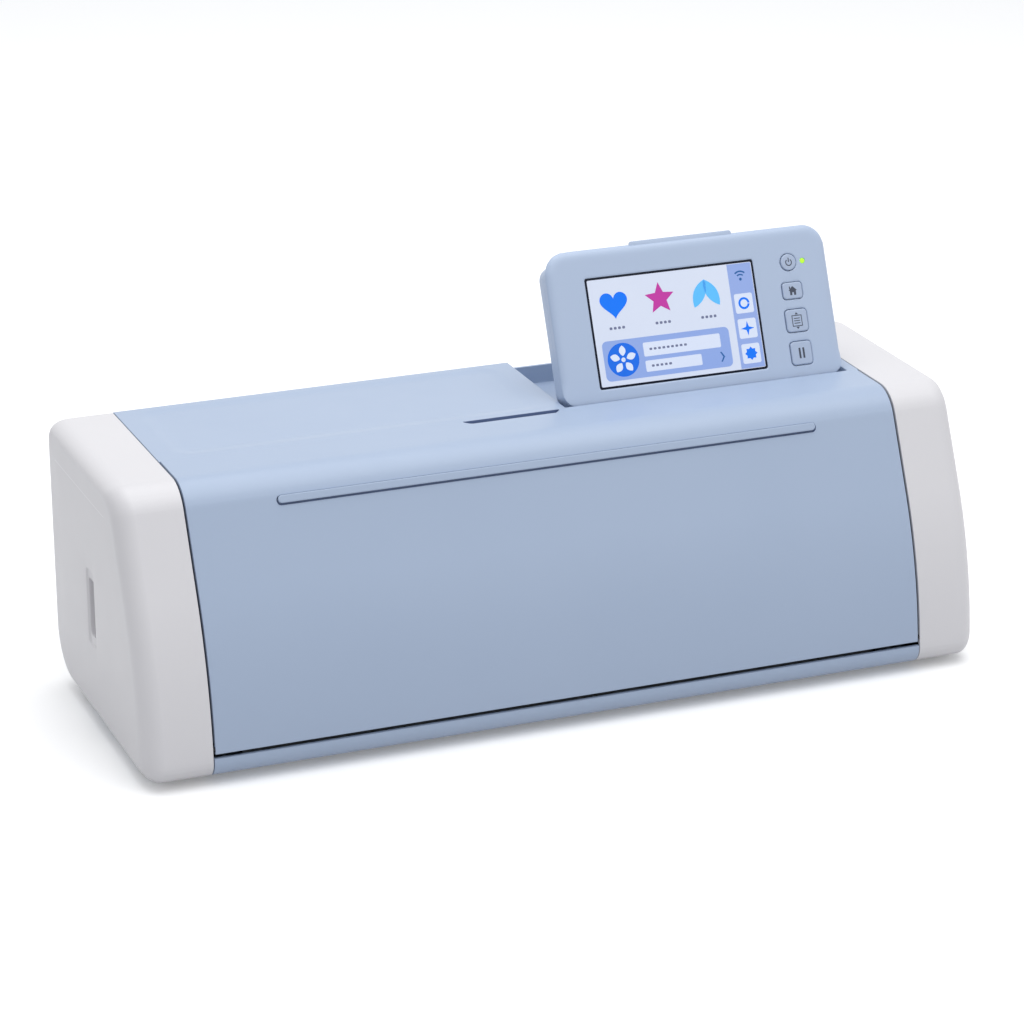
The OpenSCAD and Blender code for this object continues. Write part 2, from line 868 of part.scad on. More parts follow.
module drive_belt() {
  r0 = pulley_r + belt_gap;
  color(dark)
    translate([0, belt_y1, belt_z])
      rotate([90, 0, 0])
        linear_extrude(belt_y1 - belt_y0)
          difference() {
            capsule(2 * (belt_x + r0 + belt_t), 2 * (r0 + belt_t));
            capsule(2 * (belt_x + r0), 2 * r0);
          }
}

module feed_motor() {
  color(dark)
    difference() {
      union() {
        rod_x(-frame_x, -frame_x + motor_len, pinion_y, pinion_z, motor_r);
        rod_x(-frame_x - frame_t, -frame_x + eps, pinion_y, pinion_z, motor_boss_r);
      }
      rod_x(-frame_x - 3, -frame_x + 12, pinion_y, pinion_z, spindle_r + run_fit);
    }
}

module scanner_bar() {
  color(dark)
    difference() {
      union() {
        block(-scan_x, scan_x, scan_y0, scan_y1, scan_z0, scan_z1);
        block(-frame_x, frame_x, scan_y0 + scan_wall, scan_y1 - scan_wall, scan_z0 + 14, scan_z0 + 17);
      }
      block(scan_wall - scan_x, scan_x - scan_wall, scan_y0 + scan_wall, scan_y1 - scan_wall,
        scan_z0 - 1, scan_z0 + 12);
    }
}

module scanner_glass() {
  color([0.75, 0.85, 0.88, 0.6])
    block(scan_wall - scan_x, scan_x - scan_wall, scan_y0 + scan_wall, scan_y1 - scan_wall,
      scan_z0, scan_z0 + 1.2);
}

// part on a board that lies on the base: x and y of its corner, length, depth and height
module board_part(p) {
  block(p[0], p[0] + p[2], p[1], p[1] + p[3], board_z + board_t, board_z + board_t + p[4]);
}

module main_board() {
  color(board_green)
    block(board_posts[0] - 6, board_posts[1] + 6, board_y0, board_y1, board_z, board_z + board_t);
  color(dark)
    for (p = [[-120, 30, 22, 22, 2.4], [-80, 28, 14, 12, 1.6], [-50, 24, 14, 30, 8.4]])
      board_part(p);
}

module power_board() {
  color(board_green)
    block(board_posts[2] - 6, board_posts[3] + 6, board_y0, board_y1, board_z, board_z + board_t);
  color(dark) {
    for (y = [32, 48])
      rod_z(board_z + board_t, board_z + 22, 66, y, 6);
    for (p = [[90, 26, 26, 26, 18.4], [128, 28, 20, 22, 10.4]])
      board_part(p);
  }
}

module socket_block(x0, x1, wall_t) {
  block(-half_w + x0, -half_w + x1, port_y - socket_y + wall_t, port_y + socket_y - wall_t,
    socket_mid_z - socket_z + wall_t, socket_mid_z + socket_z - wall_t);
}

module usb_socket() {
  color(steel)
    difference() {
      socket_block(port_in - 1, 24, 0);
      socket_block(port_in - 2, 21, 0.8);
    }
  color(dark)
    block(-half_w + port_in + 0.5, -half_w + 21.5, port_y - 1.85, port_y - 0.25,
      socket_mid_z - 5.2, socket_mid_z + 5.2);
}

// ---- front cover, turns on its lower edge ----

module front_cover() {
  color(blue)
    difference() {
      union() {
        along_x(-cover_x, cover_x)
          polygon(concat(front_line(0, seam_y, cover_low_z), flip(front_line(wall, seam_y, cover_low_z))));
        for (s = [0, 1])
          mirror([s, 0, 0]) {
            along_x(cover_x - 2, cover_x)
              polygon(concat(front_line(1, seam_y, cover_hinge_z + 1),
                flip(front_line(9, seam_y, cover_hinge_z + 5))));
            rod_x(cover_knuckle_x, cover_x, cover_hinge_y, cover_hinge_z, cover_knuckle_r);
          }
      }
      for (s = [0, 1])
        mirror([s, 0, 0])
          rod_x(cover_knuckle_x - 1, cover_x + 1, cover_hinge_y, cover_hinge_z, cover_pin_r);
      translate([rib_off, 0, 0])
        on_face()
          translate([0, 0, -rib_seat])
            linear_extrude(3)
              capsule(rib_len + 2 * rib_gap, rib_h + 2 * rib_gap);
      translate([notch_x, seam_y, body_h - notch_deep])
        linear_extrude(3)
          polygon([[-notch_len / 2, 1], [-notch_len / 2, -0.6], [notch_end - notch_len / 2, -notch_wide],
            [notch_len / 2 - notch_end, -notch_wide], [notch_len / 2, -0.6], [notch_len / 2, 1]]);
    }
}

module front_cover_liner() {
  top_y = seam_y - 0.4;
  color(white_shell)
    union() {
      along_x(-liner_x, liner_x)
        polygon(concat(front_line(liner_in, top_y, liner_low_z),
          flip(front_line(liner_in + liner_t, top_y, liner_low_z))));
      for (i = [-3:3])
        along_x(i * liner_web_gap - 1, i * liner_web_gap + 1)
          polygon(concat(front_line(wall + 0.05, top_y, liner_low_z),
            flip(front_line(liner_in + 0.5, top_y, liner_low_z))));
    }
}

module cover_rib() {
  color(blue)
    translate([rib_off, 0, 0])
      on_face()
        translate([0, 0, -rib_seat])
          linear_extrude(rib_seat + rib_proud)
            capsule(rib_len, rib_h);
}

module cover_hinge_pins() {
  color(steel)
    for (s = [0, 1])
      mirror([s, 0, 0])
        rod_x(cover_knuckle_x, cap_x + 3.5, cover_hinge_y, cover_hinge_z, cover_pin_r);
}

// ---- operation panel, turns on its lower edge ----

// the second hinge end is the first one mirrored about the middle of the panel
module other_end(k) {
  translate([k * 2 * panel_x, 0, 0])
    mirror([k, 0, 0])
      children();
}

// opening for a key, with its gap all round
module key_hole(s, size, round_r) {
  w = size[0] / 2 + button_gap;
  h = size[1] / 2 + button_gap;
  plate(buttons_x - w, buttons_x + w, s - h, s + h, face_y - 1, ledge_y + 1, round_r);
}

// the screen opening: in draws it in for the glass
module screen_plate(in, y0, y1, r) {
  gx = screen_w / 2 + line_w - in;
  gs = screen_h / 2 + line_w - in;
  plate(screen_x - gx, screen_x + gx, screen_s - gs, screen_s + gs, y0, y1, r);
}

module panel_bezel() {
  color(deep_blue)
    in_panel()
      difference() {
        union() {
          panel_plate(0, panel_s1, face_y, face_y + rim_t, top_round);
          panel_plate(0, deep_s1, face_y + 1, split_y, deep_round);
          plate(tab_x0, tab_x0 + tab_w, panel_s1 - 6, panel_s1 + tab_h, face_y + rim_t - 1.6,
            face_y + rim_t, 1.5);
          for (k = hinge_sides)
            other_end(k) {
              block(knuckle_x0, knuckle_x1, -1.8, 1.8, 0, 4);
              rod_x(knuckle_x0, knuckle_x1, 0, 0, knuckle_r);
            }
        }
        rod_x(recess_x0, recess_x1, 0, 0, panel_pin_r + run_fit);
        panel_plate(shell_t, deep_s1 - shell_t, ledge_y, split_y + 1, deep_round - 2);
        for (k = hinge_sides)
          other_end(k)
            for (x = [knuckle_x0 - ear_gap - ear_t - 0.5, knuckle_x1])
              block(x, x + ear_t + ear_gap + 0.5, face_y - 1, split_y + 1, 0, knuckle_r + 0.4);
        screen_plate(0, face_y - 1, ledge_y + 1, 1.5);
        rod_y(face_y - 1, ledge_y + 1, buttons_x, power_s, power_r + button_gap);
        key_hole(home_s, home_size, key_round);
        key_hole(feed_s, feed_size, key_round + 0.2);
        key_hole(pause_s, pause_size, key_round + 0.2);
        rod_y(face_y - 1, ledge_y + 1, lamp_x, power_s, lamp_r);
      }
}

module panel_back() {
  color(deep_blue)
    in_panel()
      difference() {
        panel_plate(0, deep_s1, split_y, panel_back_y, deep_round);
        panel_plate(shell_t, deep_s1 - shell_t, split_y - 5, panel_back_y - shell_t, deep_round - 2);
        for (i = [-4:4])
          block(panel_x + i * 11 - 3, panel_x + i * 11 + 3, panel_back_y - 3, panel_back_y + 1, 20, 22);
        for (x = panel_screw_x)
          for (s = panel_screw_s)
            rod_y(0, panel_back_y + 1, x, s, panel_screw_r);
      }
}

module panel_screws() {
  color(steel)
    in_panel()
      for (x = panel_screw_x)
        for (s = panel_screw_s)
          rod_y(split_y - 2, panel_back_y, x, s, panel_screw_r);
}

module lcd_module() {
  x1 = screen_w / 2 + lcd_side;
  color(grey)
    in_panel()
      block(screen_x - x1, screen_x + x1, ledge_y, 3.2, screen_s - screen_h / 2 - 4.8,
        screen_s + screen_h / 2 + 4.6);
}

module touch_glass() {
  color(screen_white)
    in_panel()
      screen_plate(0.1, face_y + 0.3, ledge_y, 1.4);
}

module panel_board() {
  color(board_green)
    in_panel()
      union() {
        block(keyboard_x0, keyboard_x1, board_y, board_y + board_t, panel_s0 + 6, screen_s + 35.4);
        for (x = [keyboard_x0 + 3, keyboard_x1 - 3])
          for (s = [24, 60])
            rod_y(ledge_y, board_y + eps, x, s, 1.6);
      }
  color(dark)
    in_panel()
      for (s = [power_s, home_s, feed_s, pause_s])
        rod_y(board_y - 0.5, board_y, buttons_x, s, 2);
}

module status_lamp() {
  color([0.6, 0.95, 0.2])
    in_panel()
      rod_y(face_y + 0.1, board_y, lamp_x, power_s, lamp_r);
}

// a key runs from just proud of the face to the ledge, then a stem to its switch
key_y0 = face_y - key_proud;
key_y1 = ledge_y + 1.2;
module button_stem(s) {
  rod_y(key_y1, board_y - 0.5 - button_travel - 0.4, buttons_x, s, 1.5);
}

module power_button() {
  color(blue)
    in_panel()
      union() {
        rod_y(key_y0, key_y1, buttons_x, power_s, power_r);
        rod_y(ledge_y + button_gap, key_y1, buttons_x, power_s, power_r + key_flange - 0.15);
        button_stem(power_s);
      }
}

module key_plate(s, size, grow, y0) {
  w = size[0] / 2 + grow;
  h = size[1] / 2 + grow;
  plate(buttons_x - w, buttons_x + w, s - h, s + h, y0, key_y1, key_round);
}

module square_button(s, size) {
  color(blue)
    in_panel()
      union() {
        key_plate(s, size, 0, key_y0);
        key_plate(s, size, key_flange, ledge_y + button_gap);
        button_stem(s);
      }
}

module home_button() {
  square_button(home_s, home_size);
}

module feed_button() {
  square_button(feed_s, feed_size);
}

module pause_button() {
  square_button(pause_s, pause_size);
}

// ---- carriage, drawn parked ----

module at_carriage() {
  translate([park_x, 0, 0])
    children();
}

module carriage_frame() {
  cx = carriage_w / 2;
  rail_y = beam_y0 + beam_t;
  color(grey)
    at_carriage()
      difference() {
        union() {
          block(-cx, cx, -carriage_y, carriage_y, carriage_z0, carriage_z1);
          block(-cx, cx, 2, carriage_y, carriage_z1 - 1, hook_z);
          block(-cx, cx, carriage_y - 1, rail_y + 2.5, beam_z1 + 1, hook_z);
          for (z = [carriage_z0, carriage_z1 - 4])
            block(-bridge_w / 2, bridge_w / 2, slide_rod_y - 4, 1 - carriage_y, z, z + 4);
        }
        rod_x(-cx - 1, cx + 1, 0, guide_z, bush_r);
        block(-cx - 1, cx + 1, beam_y0 - 0.4, rail_y + 0.4, beam_z1 - 1, beam_lip_z + 0.4);
        for (x = [-slide_rod_x, slide_rod_x])
          rod_z(carriage_z0 - 1, carriage_z1 + 1, x, slide_rod_y, slide_rod_r);
      }
}

module carriage_bushes() {
  color(brass_col)
    at_carriage()
      for (x = [-carriage_w / 2, carriage_w / 2 - bush_len])
        difference() {
          rod_x(x, x + bush_len, 0, guide_z, bush_r);
          rod_x(x - 1, x + bush_len + 1, 0, guide_z, rod_r + run_fit);
        }
}

module carriage_cover() {
  cheek_x = carriage_w / 2;
  color(white_shell)
    at_carriage()
      difference() {
        union() {
          block(-cheek_x - 2, cheek_x + 2, -carriage_y, 1.6, carriage_z1, carriage_z1 + 5);
          for (x = [-cheek_x - 2, cheek_x])
            block(x, x + 2, -carriage_y, carriage_y, carriage_z0 + 6, carriage_z1 + 1);
        }
        rod_x(-cheek_x - 3, cheek_x + 3, 0, guide_z, bush_r);
      }
}

module belt_clamp() {
  top_run = belt_z + pulley_r + belt_gap;
  color(dark)
    at_carriage()
      difference() {
        block(-8, 8, carriage_y, belt_y1 + 1.2, top_run - 3, top_run + belt_t + 3);
        block(-9, 9, belt_y0 - 0.5, belt_y1 + 2, top_run - 0.5, top_run + belt_t + 0.5);
      }
}

module tool_rods() {
  color(steel)
    at_carriage()
      for (x = [-slide_rod_x, slide_rod_x])
        rod_z(carriage_z0, carriage_z1, x, slide_rod_y, slide_rod_r);
}

module tool_block() {
  color(dark)
    at_carriage()
      difference() {
        union() {
          block(-bridge_w / 2, bridge_w / 2, slide_rod_y - 5, slide_rod_y + 5, tool_z0, tool_z1);
          block(-boss_r, boss_r, blade_y, slide_rod_y - 4, boss_z0, boss_z1);
          rod_z(boss_z0, boss_z1, 0, blade_y, boss_r);
        }
        rod_z(boss_z0 - 6, tool_z1 + 9, 0, blade_y, holder_r + run_fit);
        for (x = [-slide_rod_x, slide_rod_x])
          rod_z(boss_z0 - 6, tool_z1 + 9, x, slide_rod_y, slide_rod_r + run_fit);
        for (x = [-bridge_w / 2 + 1, bridge_w / 2 - 1])
          rod_x(x - 1.3, x + 1.3, lever_y, lever_z, lever_pin_r + run_fit);
      }
}

module lock_lever() {
  grip_y = lever_y - lever_reach;
  color(lever_blue)
    at_carriage()
      union() {
        for (s = [0, 1])
          mirror([s, 0, 0]) {
            rod_x(lever_x, lever_x + lever_t, lever_y, lever_z, 3.5);
            rod_x(lever_x - 2.4, lever_x + eps, lever_y, lever_z, lever_pin_r);
            along_x(lever_x, lever_x + lever_t)
              polygon([[lever_y - 2, lever_z + 2.9], [grip_y, grip_z1], [grip_y, grip_z0 + 2],
                [lever_y + 2, lever_z - 2.9]]);
          }
        block(-lever_x - lever_t, lever_x + lever_t, grip_y, grip_y + 2.6, grip_z0, grip_z1);
      }
}

module blade_holder() {
  nose_z = tip_z + 3.2;
  collar_z = boss_z1 + 0.3;
  color(grey)
    at_carriage()
      difference() {
        union() {
          rod_z(nose_z + 5, collar_z + 0.1, 0, blade_y, holder_r);
          rod_z(collar_z, collar_z + 11.7, 0, blade_y, holder_r + 2);
          translate([0, blade_y, nose_z])
            cylinder(h = 5, r1 = 3, r2 = holder_r, $fn = fine);
        }
        rod_z(nose_z - 1, nose_z + 15, 0, blade_y, blade_r);
        for (i = [0:17])
          rotate_at(i * 20)
            rod_z(collar_z + 2.7, collar_z + 9.7, holder_r + 2.4, 0, 0.9);
      }
}

module rotate_at(a) {
  translate([0, blade_y, 0])
    rotate([0, 0, a])
      children();
}

module blade_tip() {
  color(steel)
    at_carriage()
      translate([0, blade_y, tip_z]) {
        translate([0, 0, 2.2])
          cylinder(h = 16, r = blade_r, $fn = fine);
        cylinder(h = 2.2, r1 = 0.1, r2 = blade_r, $fn = fine);
      }
}

// ---- feed train ----

module feed_roller() {
  color(dark)
    rod_x(-roller_x, roller_x, 0, feed_z, feed_r);
  color(steel) {
    rod_x(-gear_x - gear_w - 2, -roller_x + eps, 0, feed_z, feed_shaft_r);
    rod_x(roller_x - eps, frame_x + 3, 0, feed_z, feed_shaft_r);
  }
}

function unwind(rb, r) = tan(acos(rb / r)) * 180 / PI - acos(rb / r);
// one flank of a tooth from the root to the tip, as angles about the wheel centre
function tooth_half(n, r) = 90 / n - 0.35 + 0.8539 - unwind(gear_m * n * cos(20) / 2, r);
module toothed_wheel(n, bore) {
  rp = gear_m * n / 2;
  rb = rp * cos(20);
  r0 = max(rb, rp - 1.2 * gear_m);
  r1 = rp + 0.92 * gear_m;
  radii = [for (i = [0:4]) r0 + (r1 - r0) * i / 4];
  difference() {
    union() {
      circle(r = rp - 1.2 * gear_m, $fn = fine);
      for (k = [0:n - 1])
        rotate(k * 360 / n)
          polygon(concat(
            [[rp - 2 * gear_m, -0.5 * gear_m]],
            [for (r = radii) [r * cos(tooth_half(n, r)), -r * sin(tooth_half(n, r))]],
            [for (i = [4:-1:0])
              [radii[i] * cos(tooth_half(n, radii[i])), radii[i] * sin(tooth_half(n, radii[i]))]],
            [[rp - 2 * gear_m, 0.5 * gear_m]]));
    }
    circle(r = bore, $fn = fine);
  }
}

module feed_gear() {
  color(white_shell)
    translate([-gear_x - gear_w, 0, feed_z])
      rotate([90, 0, 90])
        linear_extrude(gear_w)
          difference() {
            rotate(pinion_dir)
              toothed_wheel(gear_teeth, feed_shaft_r);
            for (k = [0:5])
              rotate(k * 60)
                translate([12, 0])
                  circle(r = 3.5, $fn = fine);
          }
}

module feed_pinion() {
  color(brass_col)
    union() {
      translate([-gear_x - gear_w, pinion_y, pinion_z])
        rotate([90, 0, 90])
          linear_extrude(gear_w)
            rotate(pinion_dir + 180 + 180 / pinion_teeth)
              toothed_wheel(pinion_teeth, 0.5);
      rod_x(-gear_x - gear_w - 1, -frame_x + 8, pinion_y, pinion_z, spindle_r);
    }
}

module pinch_shaft() {
  color(steel)
    rod_x(-frame_x - 3, frame_x + 3, 0, pinch_z, pinch_shaft_r);
}

module pinch_rollers() {
  color(dark)
    for (i = [-1.5:1.5])
      translate([i * pinch_pitch, 0, 0])
        difference() {
          rod_x(-pinch_len / 2, pinch_len / 2, 0, pinch_z, pinch_r);
          rod_x(-pinch_len / 2 - 1, pinch_len / 2 + 1, 0, pinch_z, pinch_shaft_r);
        }
}

module belt_pulley(x, bore) {
  difference() {
    union() {
      rod_y(belt_y0 - 0.6, belt_y1 + 0.6, x, belt_z, pulley_r);
      for (y = [belt_y0 - 0.6 - flange_t, belt_y1 + 0.6])
        rod_y(y, y + flange_t, x, belt_z, pulley_r + 1.8);
    }
    if (bore > 0)
      rod_y(belt_y0 - 3, belt_y1 + 3, x, belt_z, bore);
  }
}

module motor_pulley() {
  color(brass_col)
    union() {
      belt_pulley(belt_x, 0);
      rod_y(belt_y1, beam_y1 + 6, belt_x, belt_z, spindle_r);
    }
}

module idler_pulley() {
  color(brass_col)
    belt_pulley(-belt_x, spindle_r + run_fit);
}

base_tray();
rubber_feet();
base_screws();
left_end_cap();
right_end_cap();
top_cover();
rear_cover();
rear_cover_screws();
left_side_frame();
right_side_frame();
front_deck();
rear_deck();
cutting_strip();
main_beam();
guide_rod();
shaft_bushes();
carriage_motor();
idler_bracket();
drive_belt();
feed_motor();
scanner_bar();
scanner_glass();
main_board();
power_board();
power_inlet();
usb_socket();
panel_hinge_pins();
front_cover();
front_cover_liner();
cover_rib();
cover_hinge_pins();
panel_bezel();
panel_back();
lcd_module();
touch_glass();
panel_board();
status_lamp();
panel_screws();
power_button();
home_button();
feed_button();
pause_button();
carriage_frame();
carriage_cover();
carriage_bushes();
belt_clamp();
tool_rods();
tool_block();
lock_lever();
blade_holder();
blade_tip();
feed_roller();
feed_gear();
feed_pinion();
pinch_shaft();
pinch_rollers();
motor_pulley();
idler_pulley();
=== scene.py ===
"""Studio scene of a pale blue electronic die cutting machine with white end caps and a raised touch panel.

Everything is in metres in the machine's own frame: X to the right, Y to the back, Z up from the table.
"""

import math

import bmesh
import bpy
import numpy as np
from mathutils import Matrix, Vector


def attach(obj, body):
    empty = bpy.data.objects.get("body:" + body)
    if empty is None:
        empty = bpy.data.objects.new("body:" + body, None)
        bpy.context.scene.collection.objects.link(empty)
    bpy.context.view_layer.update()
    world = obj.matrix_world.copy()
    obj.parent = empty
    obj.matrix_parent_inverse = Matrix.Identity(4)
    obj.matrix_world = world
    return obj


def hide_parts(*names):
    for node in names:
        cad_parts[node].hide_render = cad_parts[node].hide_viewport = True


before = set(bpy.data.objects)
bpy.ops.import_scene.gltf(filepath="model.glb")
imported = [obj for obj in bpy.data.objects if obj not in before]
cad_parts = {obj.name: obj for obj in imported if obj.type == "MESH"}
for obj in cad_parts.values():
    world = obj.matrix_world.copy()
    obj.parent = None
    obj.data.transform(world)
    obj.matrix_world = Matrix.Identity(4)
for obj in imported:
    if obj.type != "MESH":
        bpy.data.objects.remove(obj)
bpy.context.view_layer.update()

# ---------------------------------------------------------------------------------------------
# End caps. White moulded shells that close the two ends of the body, each one piece, screwed to
# the steel side frames through bosses. The left one has an upright recess with the USB port.
# ---------------------------------------------------------------------------------------------

MM = 0.001
BODY_H = 156.8
HALF_D = 89.0
HALF_W = 249.0
CAP_X = 211.5
SLOPE = math.radians(66.0)
CORNER_R = 21.0
BOW_R = 250.0
BOW_Z = 103.0
LIP_R = 10.4
LIP_Z = 14.4
HEEL_R = 25.0
HEEL_Z = 29.0

BOW_CZ = BOW_Z - BOW_R * math.cos(SLOPE)
BOW_CY = -HALF_D + math.sqrt(BOW_R**2 - (LIP_Z - BOW_CZ) ** 2)
FLAT_END_Y = BOW_CY - BOW_R * math.sin(SLOPE)
CORNER_Y = FLAT_END_Y + (BODY_H - BOW_Z) / math.tan(SLOPE)
CORNER_CY = CORNER_Y + CORNER_R * math.tan(SLOPE / 2)


def arc(cy, cz, r, a0, a1, n):
    """n + 1 points on a circle about (cy, cz), angles a0 to a1 in degrees."""
    a = np.radians(np.linspace(a0, a1, n + 1))
    return np.column_stack([cy + r * np.cos(a), cz + r * np.sin(a)])


def front_line(inset, top_y, low_z, fine=1):
    """Side outline of the front as (y, z) in mm: flat top, corner arc, flat face at 66 degrees, long bow.

    The corner arc is tangent to the top and the face, and the bow is tangent to the face, so inset
    only changes the radii: r = corner_r - inset and bow_r - inset about the same centres.
    """
    turn = 90 + math.degrees(SLOPE)
    low = 180 - math.degrees(math.asin((low_z - BOW_CZ) / (BOW_R - inset)))
    face0 = arc(CORNER_CY, BODY_H - CORNER_R, CORNER_R - inset, 90, turn, 16 * fine)
    bow = arc(BOW_CY, BOW_CZ, BOW_R - inset, turn, low, 24 * fine)
    t = np.linspace(0, 1, 12 * fine + 1)[1:-1, None]
    face = face0[-1] * (1 - t) + bow[0] * t
    t = np.linspace(0, 1, 6 * fine + 1)[:-1, None]
    top = np.array([[top_y, BODY_H - inset]]) * (1 - t) + face0[0] * t
    return np.vstack([top, face0, face, bow])


def cap_outline(inset):
    """Closed side outline of an end cap in mm, drawn in by inset all round."""
    r = max(3 - inset, 0.3)
    return np.vstack([
        front_line(inset, HALF_D - inset - r, LIP_Z),
        arc(-HALF_D + LIP_R, LIP_Z, LIP_R - inset, 180, 270, 10)[1:],
        arc(HALF_D - HEEL_R, HEEL_Z, HEEL_R - inset, 270, 360, 16),
        arc(HALF_D - inset - r, BODY_H - inset - r, r, 0, 90, 5)[:-1],
    ])


def draw_in(line, k):
    """Share k of the draw at the side face: 15 mm at the front, 1.5 behind, 8.2 on top, 9 below."""
    y = -HALF_D + 15 * k + (line[:, 0] + HALF_D) * (1 - 16.5 * k / (2 * HALF_D))
    z = 4 + 9 * k + (line[:, 1] - 4) * (1 - 17.2 * k / (BODY_H - 4))
    return np.column_stack([y, z])


def ray_hits(outline, centre, angles):
    """Where rays from centre at these angles leave a convex closed outline.

    For a ray c + s d and an edge a + t e: s = cross(a - c, e) / cross(d, e), kept where 0 <= t <= 1.
    """
    a = outline - centre
    e = np.roll(outline, -1, axis=0) - outline
    d = np.column_stack([np.cos(angles), np.sin(angles)])
    den = d[:, None, 0] * e[None, :, 1] - d[:, None, 1] * e[None, :, 0]
    den = np.where(np.abs(den) < 1e-12, 1e-12, den)
    s = (a[None, :, 0] * e[None, :, 1] - a[None, :, 1] * e[None, :, 0]) / den
    t = (a[None, :, 0] * d[:, None, 1] - a[None, :, 1] * d[:, None, 0]) / den
    s = np.where((t > -1e-6) & (t < 1 + 1e-6) & (s > 0), s, np.inf)
    return centre + d * s.min(axis=1)[:, None]


def rounded(cx, cy, w, h, r, n=16):
    """Closed rounded rectangle, anticlockwise, 4 * (n + 1) points: four arcs of radius r."""
    r = max(min(r, w / 2 - 1e-4, h / 2 - 1e-4), 1e-4)
    a = np.radians(np.linspace(0, 90, n + 1))
    out = []
    for k, (sx, sy) in enumerate([(1, 1), (-1, 1), (-1, -1), (1, -1)]):
        out.append(np.column_stack([
            cx + sx * (w / 2 - r) + r * np.cos(a + k * math.pi / 2),
            cy + sy * (h / 2 - r) + r * np.sin(a + k * math.pi / 2)]))
    return np.vstack(out)


def build(name, parts, sharp=32.0):
    """One mesh object from parts, each (vertices in mm, faces as index rows), sharp above an angle."""
    verts, faces, base = [], [], 0
    for v, f in parts:
        verts.append(np.asarray(v, float))
        faces.extend((np.asarray(q) + base).tolist() for q in f)
        base += len(v)
    name = name.replace(" ", "-")
    mesh = bpy.data.meshes.new(name)
    mesh.from_pydata((np.vstack(verts) * MM).tolist(), [], faces)
    work = bmesh.new()
    work.from_mesh(mesh)
    bmesh.ops.recalc_face_normals(work, faces=work.faces)
    work.to_mesh(mesh)
    work.free()
    mesh.polygons.foreach_set("use_smooth", [True] * len(mesh.polygons))
    mesh.set_sharp_from_angle(angle=math.radians(sharp))
    mesh.update()
    obj = bpy.data.objects.new(name, mesh)
    bpy.context.scene.collection.objects.link(obj)
    return obj


def loft(rings, close=(True, True), flip=False):
    """Skin over rings of equal length, each (n, 3), with fans to the middle of the first and last ring."""
    rings = [np.asarray(r, float) for r in rings]
    n, m = len(rings[0]), len(rings)
    v = [r for r in rings]
    i = np.arange(n)
    j = (i + 1) % n
    quads = [np.column_stack([k * n + i, k * n + j, (k + 1) * n + j, (k + 1) * n + i]) for k in range(m - 1)]
    faces = [q for q in quads]
    total = n * m
    for end, ring in ((0, 0), (1, m - 1)):
        if close[end]:
            v.append(rings[ring].mean(axis=0)[None, :])
            mid = np.full(n, total)
            total += 1
            tri = [ring * n + j, ring * n + i, mid] if end == 0 else [ring * n + i, ring * n + j, mid]
            faces.append(np.column_stack(tri))
    if flip:
        faces = [f[:, ::-1] for f in faces]
    rows = []
    for f in faces:
        rows.extend(f.tolist())
    return np.vstack(v), rows


def link_material(obj, material):
    """The object's only material."""
    obj.data.materials.clear()
    obj.data.materials.append(material)


def new_group(name, sockets_in, sockets_out):
    """An empty node group with named inputs (name, kind, default) and outputs (name, kind)."""
    group = bpy.data.node_groups.new(name, "ShaderNodeTree")
    for label, kind, value in sockets_in:
        s = group.interface.new_socket(name=label, in_out="INPUT", socket_type=kind)
        s.default_value = value
    for label, kind in sockets_out:
        group.interface.new_socket(name=label, in_out="OUTPUT", socket_type=kind)
    return group, group.nodes.new("NodeGroupInput"), group.nodes.new("NodeGroupOutput")


def grain_group():
    """Moulded plastic: slow drift of the tint, a fine spark-eroded grain, and a roughness that follows it."""
    group, gin, gout = new_group("mould grain", [
        ("Colour", "NodeSocketColor", (0.8, 0.8, 0.8, 1)),
        ("Drift colour", "NodeSocketColor", (0.7, 0.7, 0.7, 1)),
        ("Drift scale", "NodeSocketFloat", 14.0),
        ("Grain scale", "NodeSocketFloat", 2600.0),
        ("Roughness", "NodeSocketFloat", 0.42),
        ("Roughness spread", "NodeSocketFloat", 0.08),
    ], [("Colour", "NodeSocketColor"), ("Roughness", "NodeSocketFloat"), ("Height", "NodeSocketFloat")])
    n, l = group.nodes, group.links
    co = n.new("ShaderNodeTexCoord")
    drift = n.new("ShaderNodeTexNoise")
    drift.inputs["Detail"].default_value = 3.0
    grain = n.new("ShaderNodeTexNoise")
    grain.inputs["Detail"].default_value = 2.0
    grain.inputs["Roughness"].default_value = 0.6
    smear = n.new("ShaderNodeTexNoise")
    smear.inputs["Scale"].default_value = 60.0
    smear.inputs["Detail"].default_value = 4.0
    l.new(co.outputs["Object"], drift.inputs["Vector"])
    l.new(co.outputs["Object"], grain.inputs["Vector"])
    l.new(co.outputs["Object"], smear.inputs["Vector"])
    l.new(gin.outputs["Drift scale"], drift.inputs["Scale"])
    l.new(gin.outputs["Grain scale"], grain.inputs["Scale"])
    mix = n.new("ShaderNodeMix")
    mix.data_type = "RGBA"
    l.new(drift.outputs["Fac"], mix.inputs["Factor"])
    l.new(gin.outputs["Colour"], mix.inputs["A"])
    l.new(gin.outputs["Drift colour"], mix.inputs["B"])
    centred = n.new("ShaderNodeMath")
    centred.operation = "SUBTRACT"
    l.new(smear.outputs["Fac"], centred.inputs[0])
    centred.inputs[1].default_value = 0.5
    spread = n.new("ShaderNodeMath")
    spread.operation = "MULTIPLY_ADD"
    l.new(centred.outputs[0], spread.inputs[0])
    l.new(gin.outputs["Roughness spread"], spread.inputs[1])
    l.new(gin.outputs["Roughness"], spread.inputs[2])
    l.new(mix.outputs["Result"], gout.inputs["Colour"])
    l.new(spread.outputs[0], gout.inputs["Roughness"])
    l.new(grain.outputs["Fac"], gout.inputs["Height"])
    return group


GRAIN = grain_group()


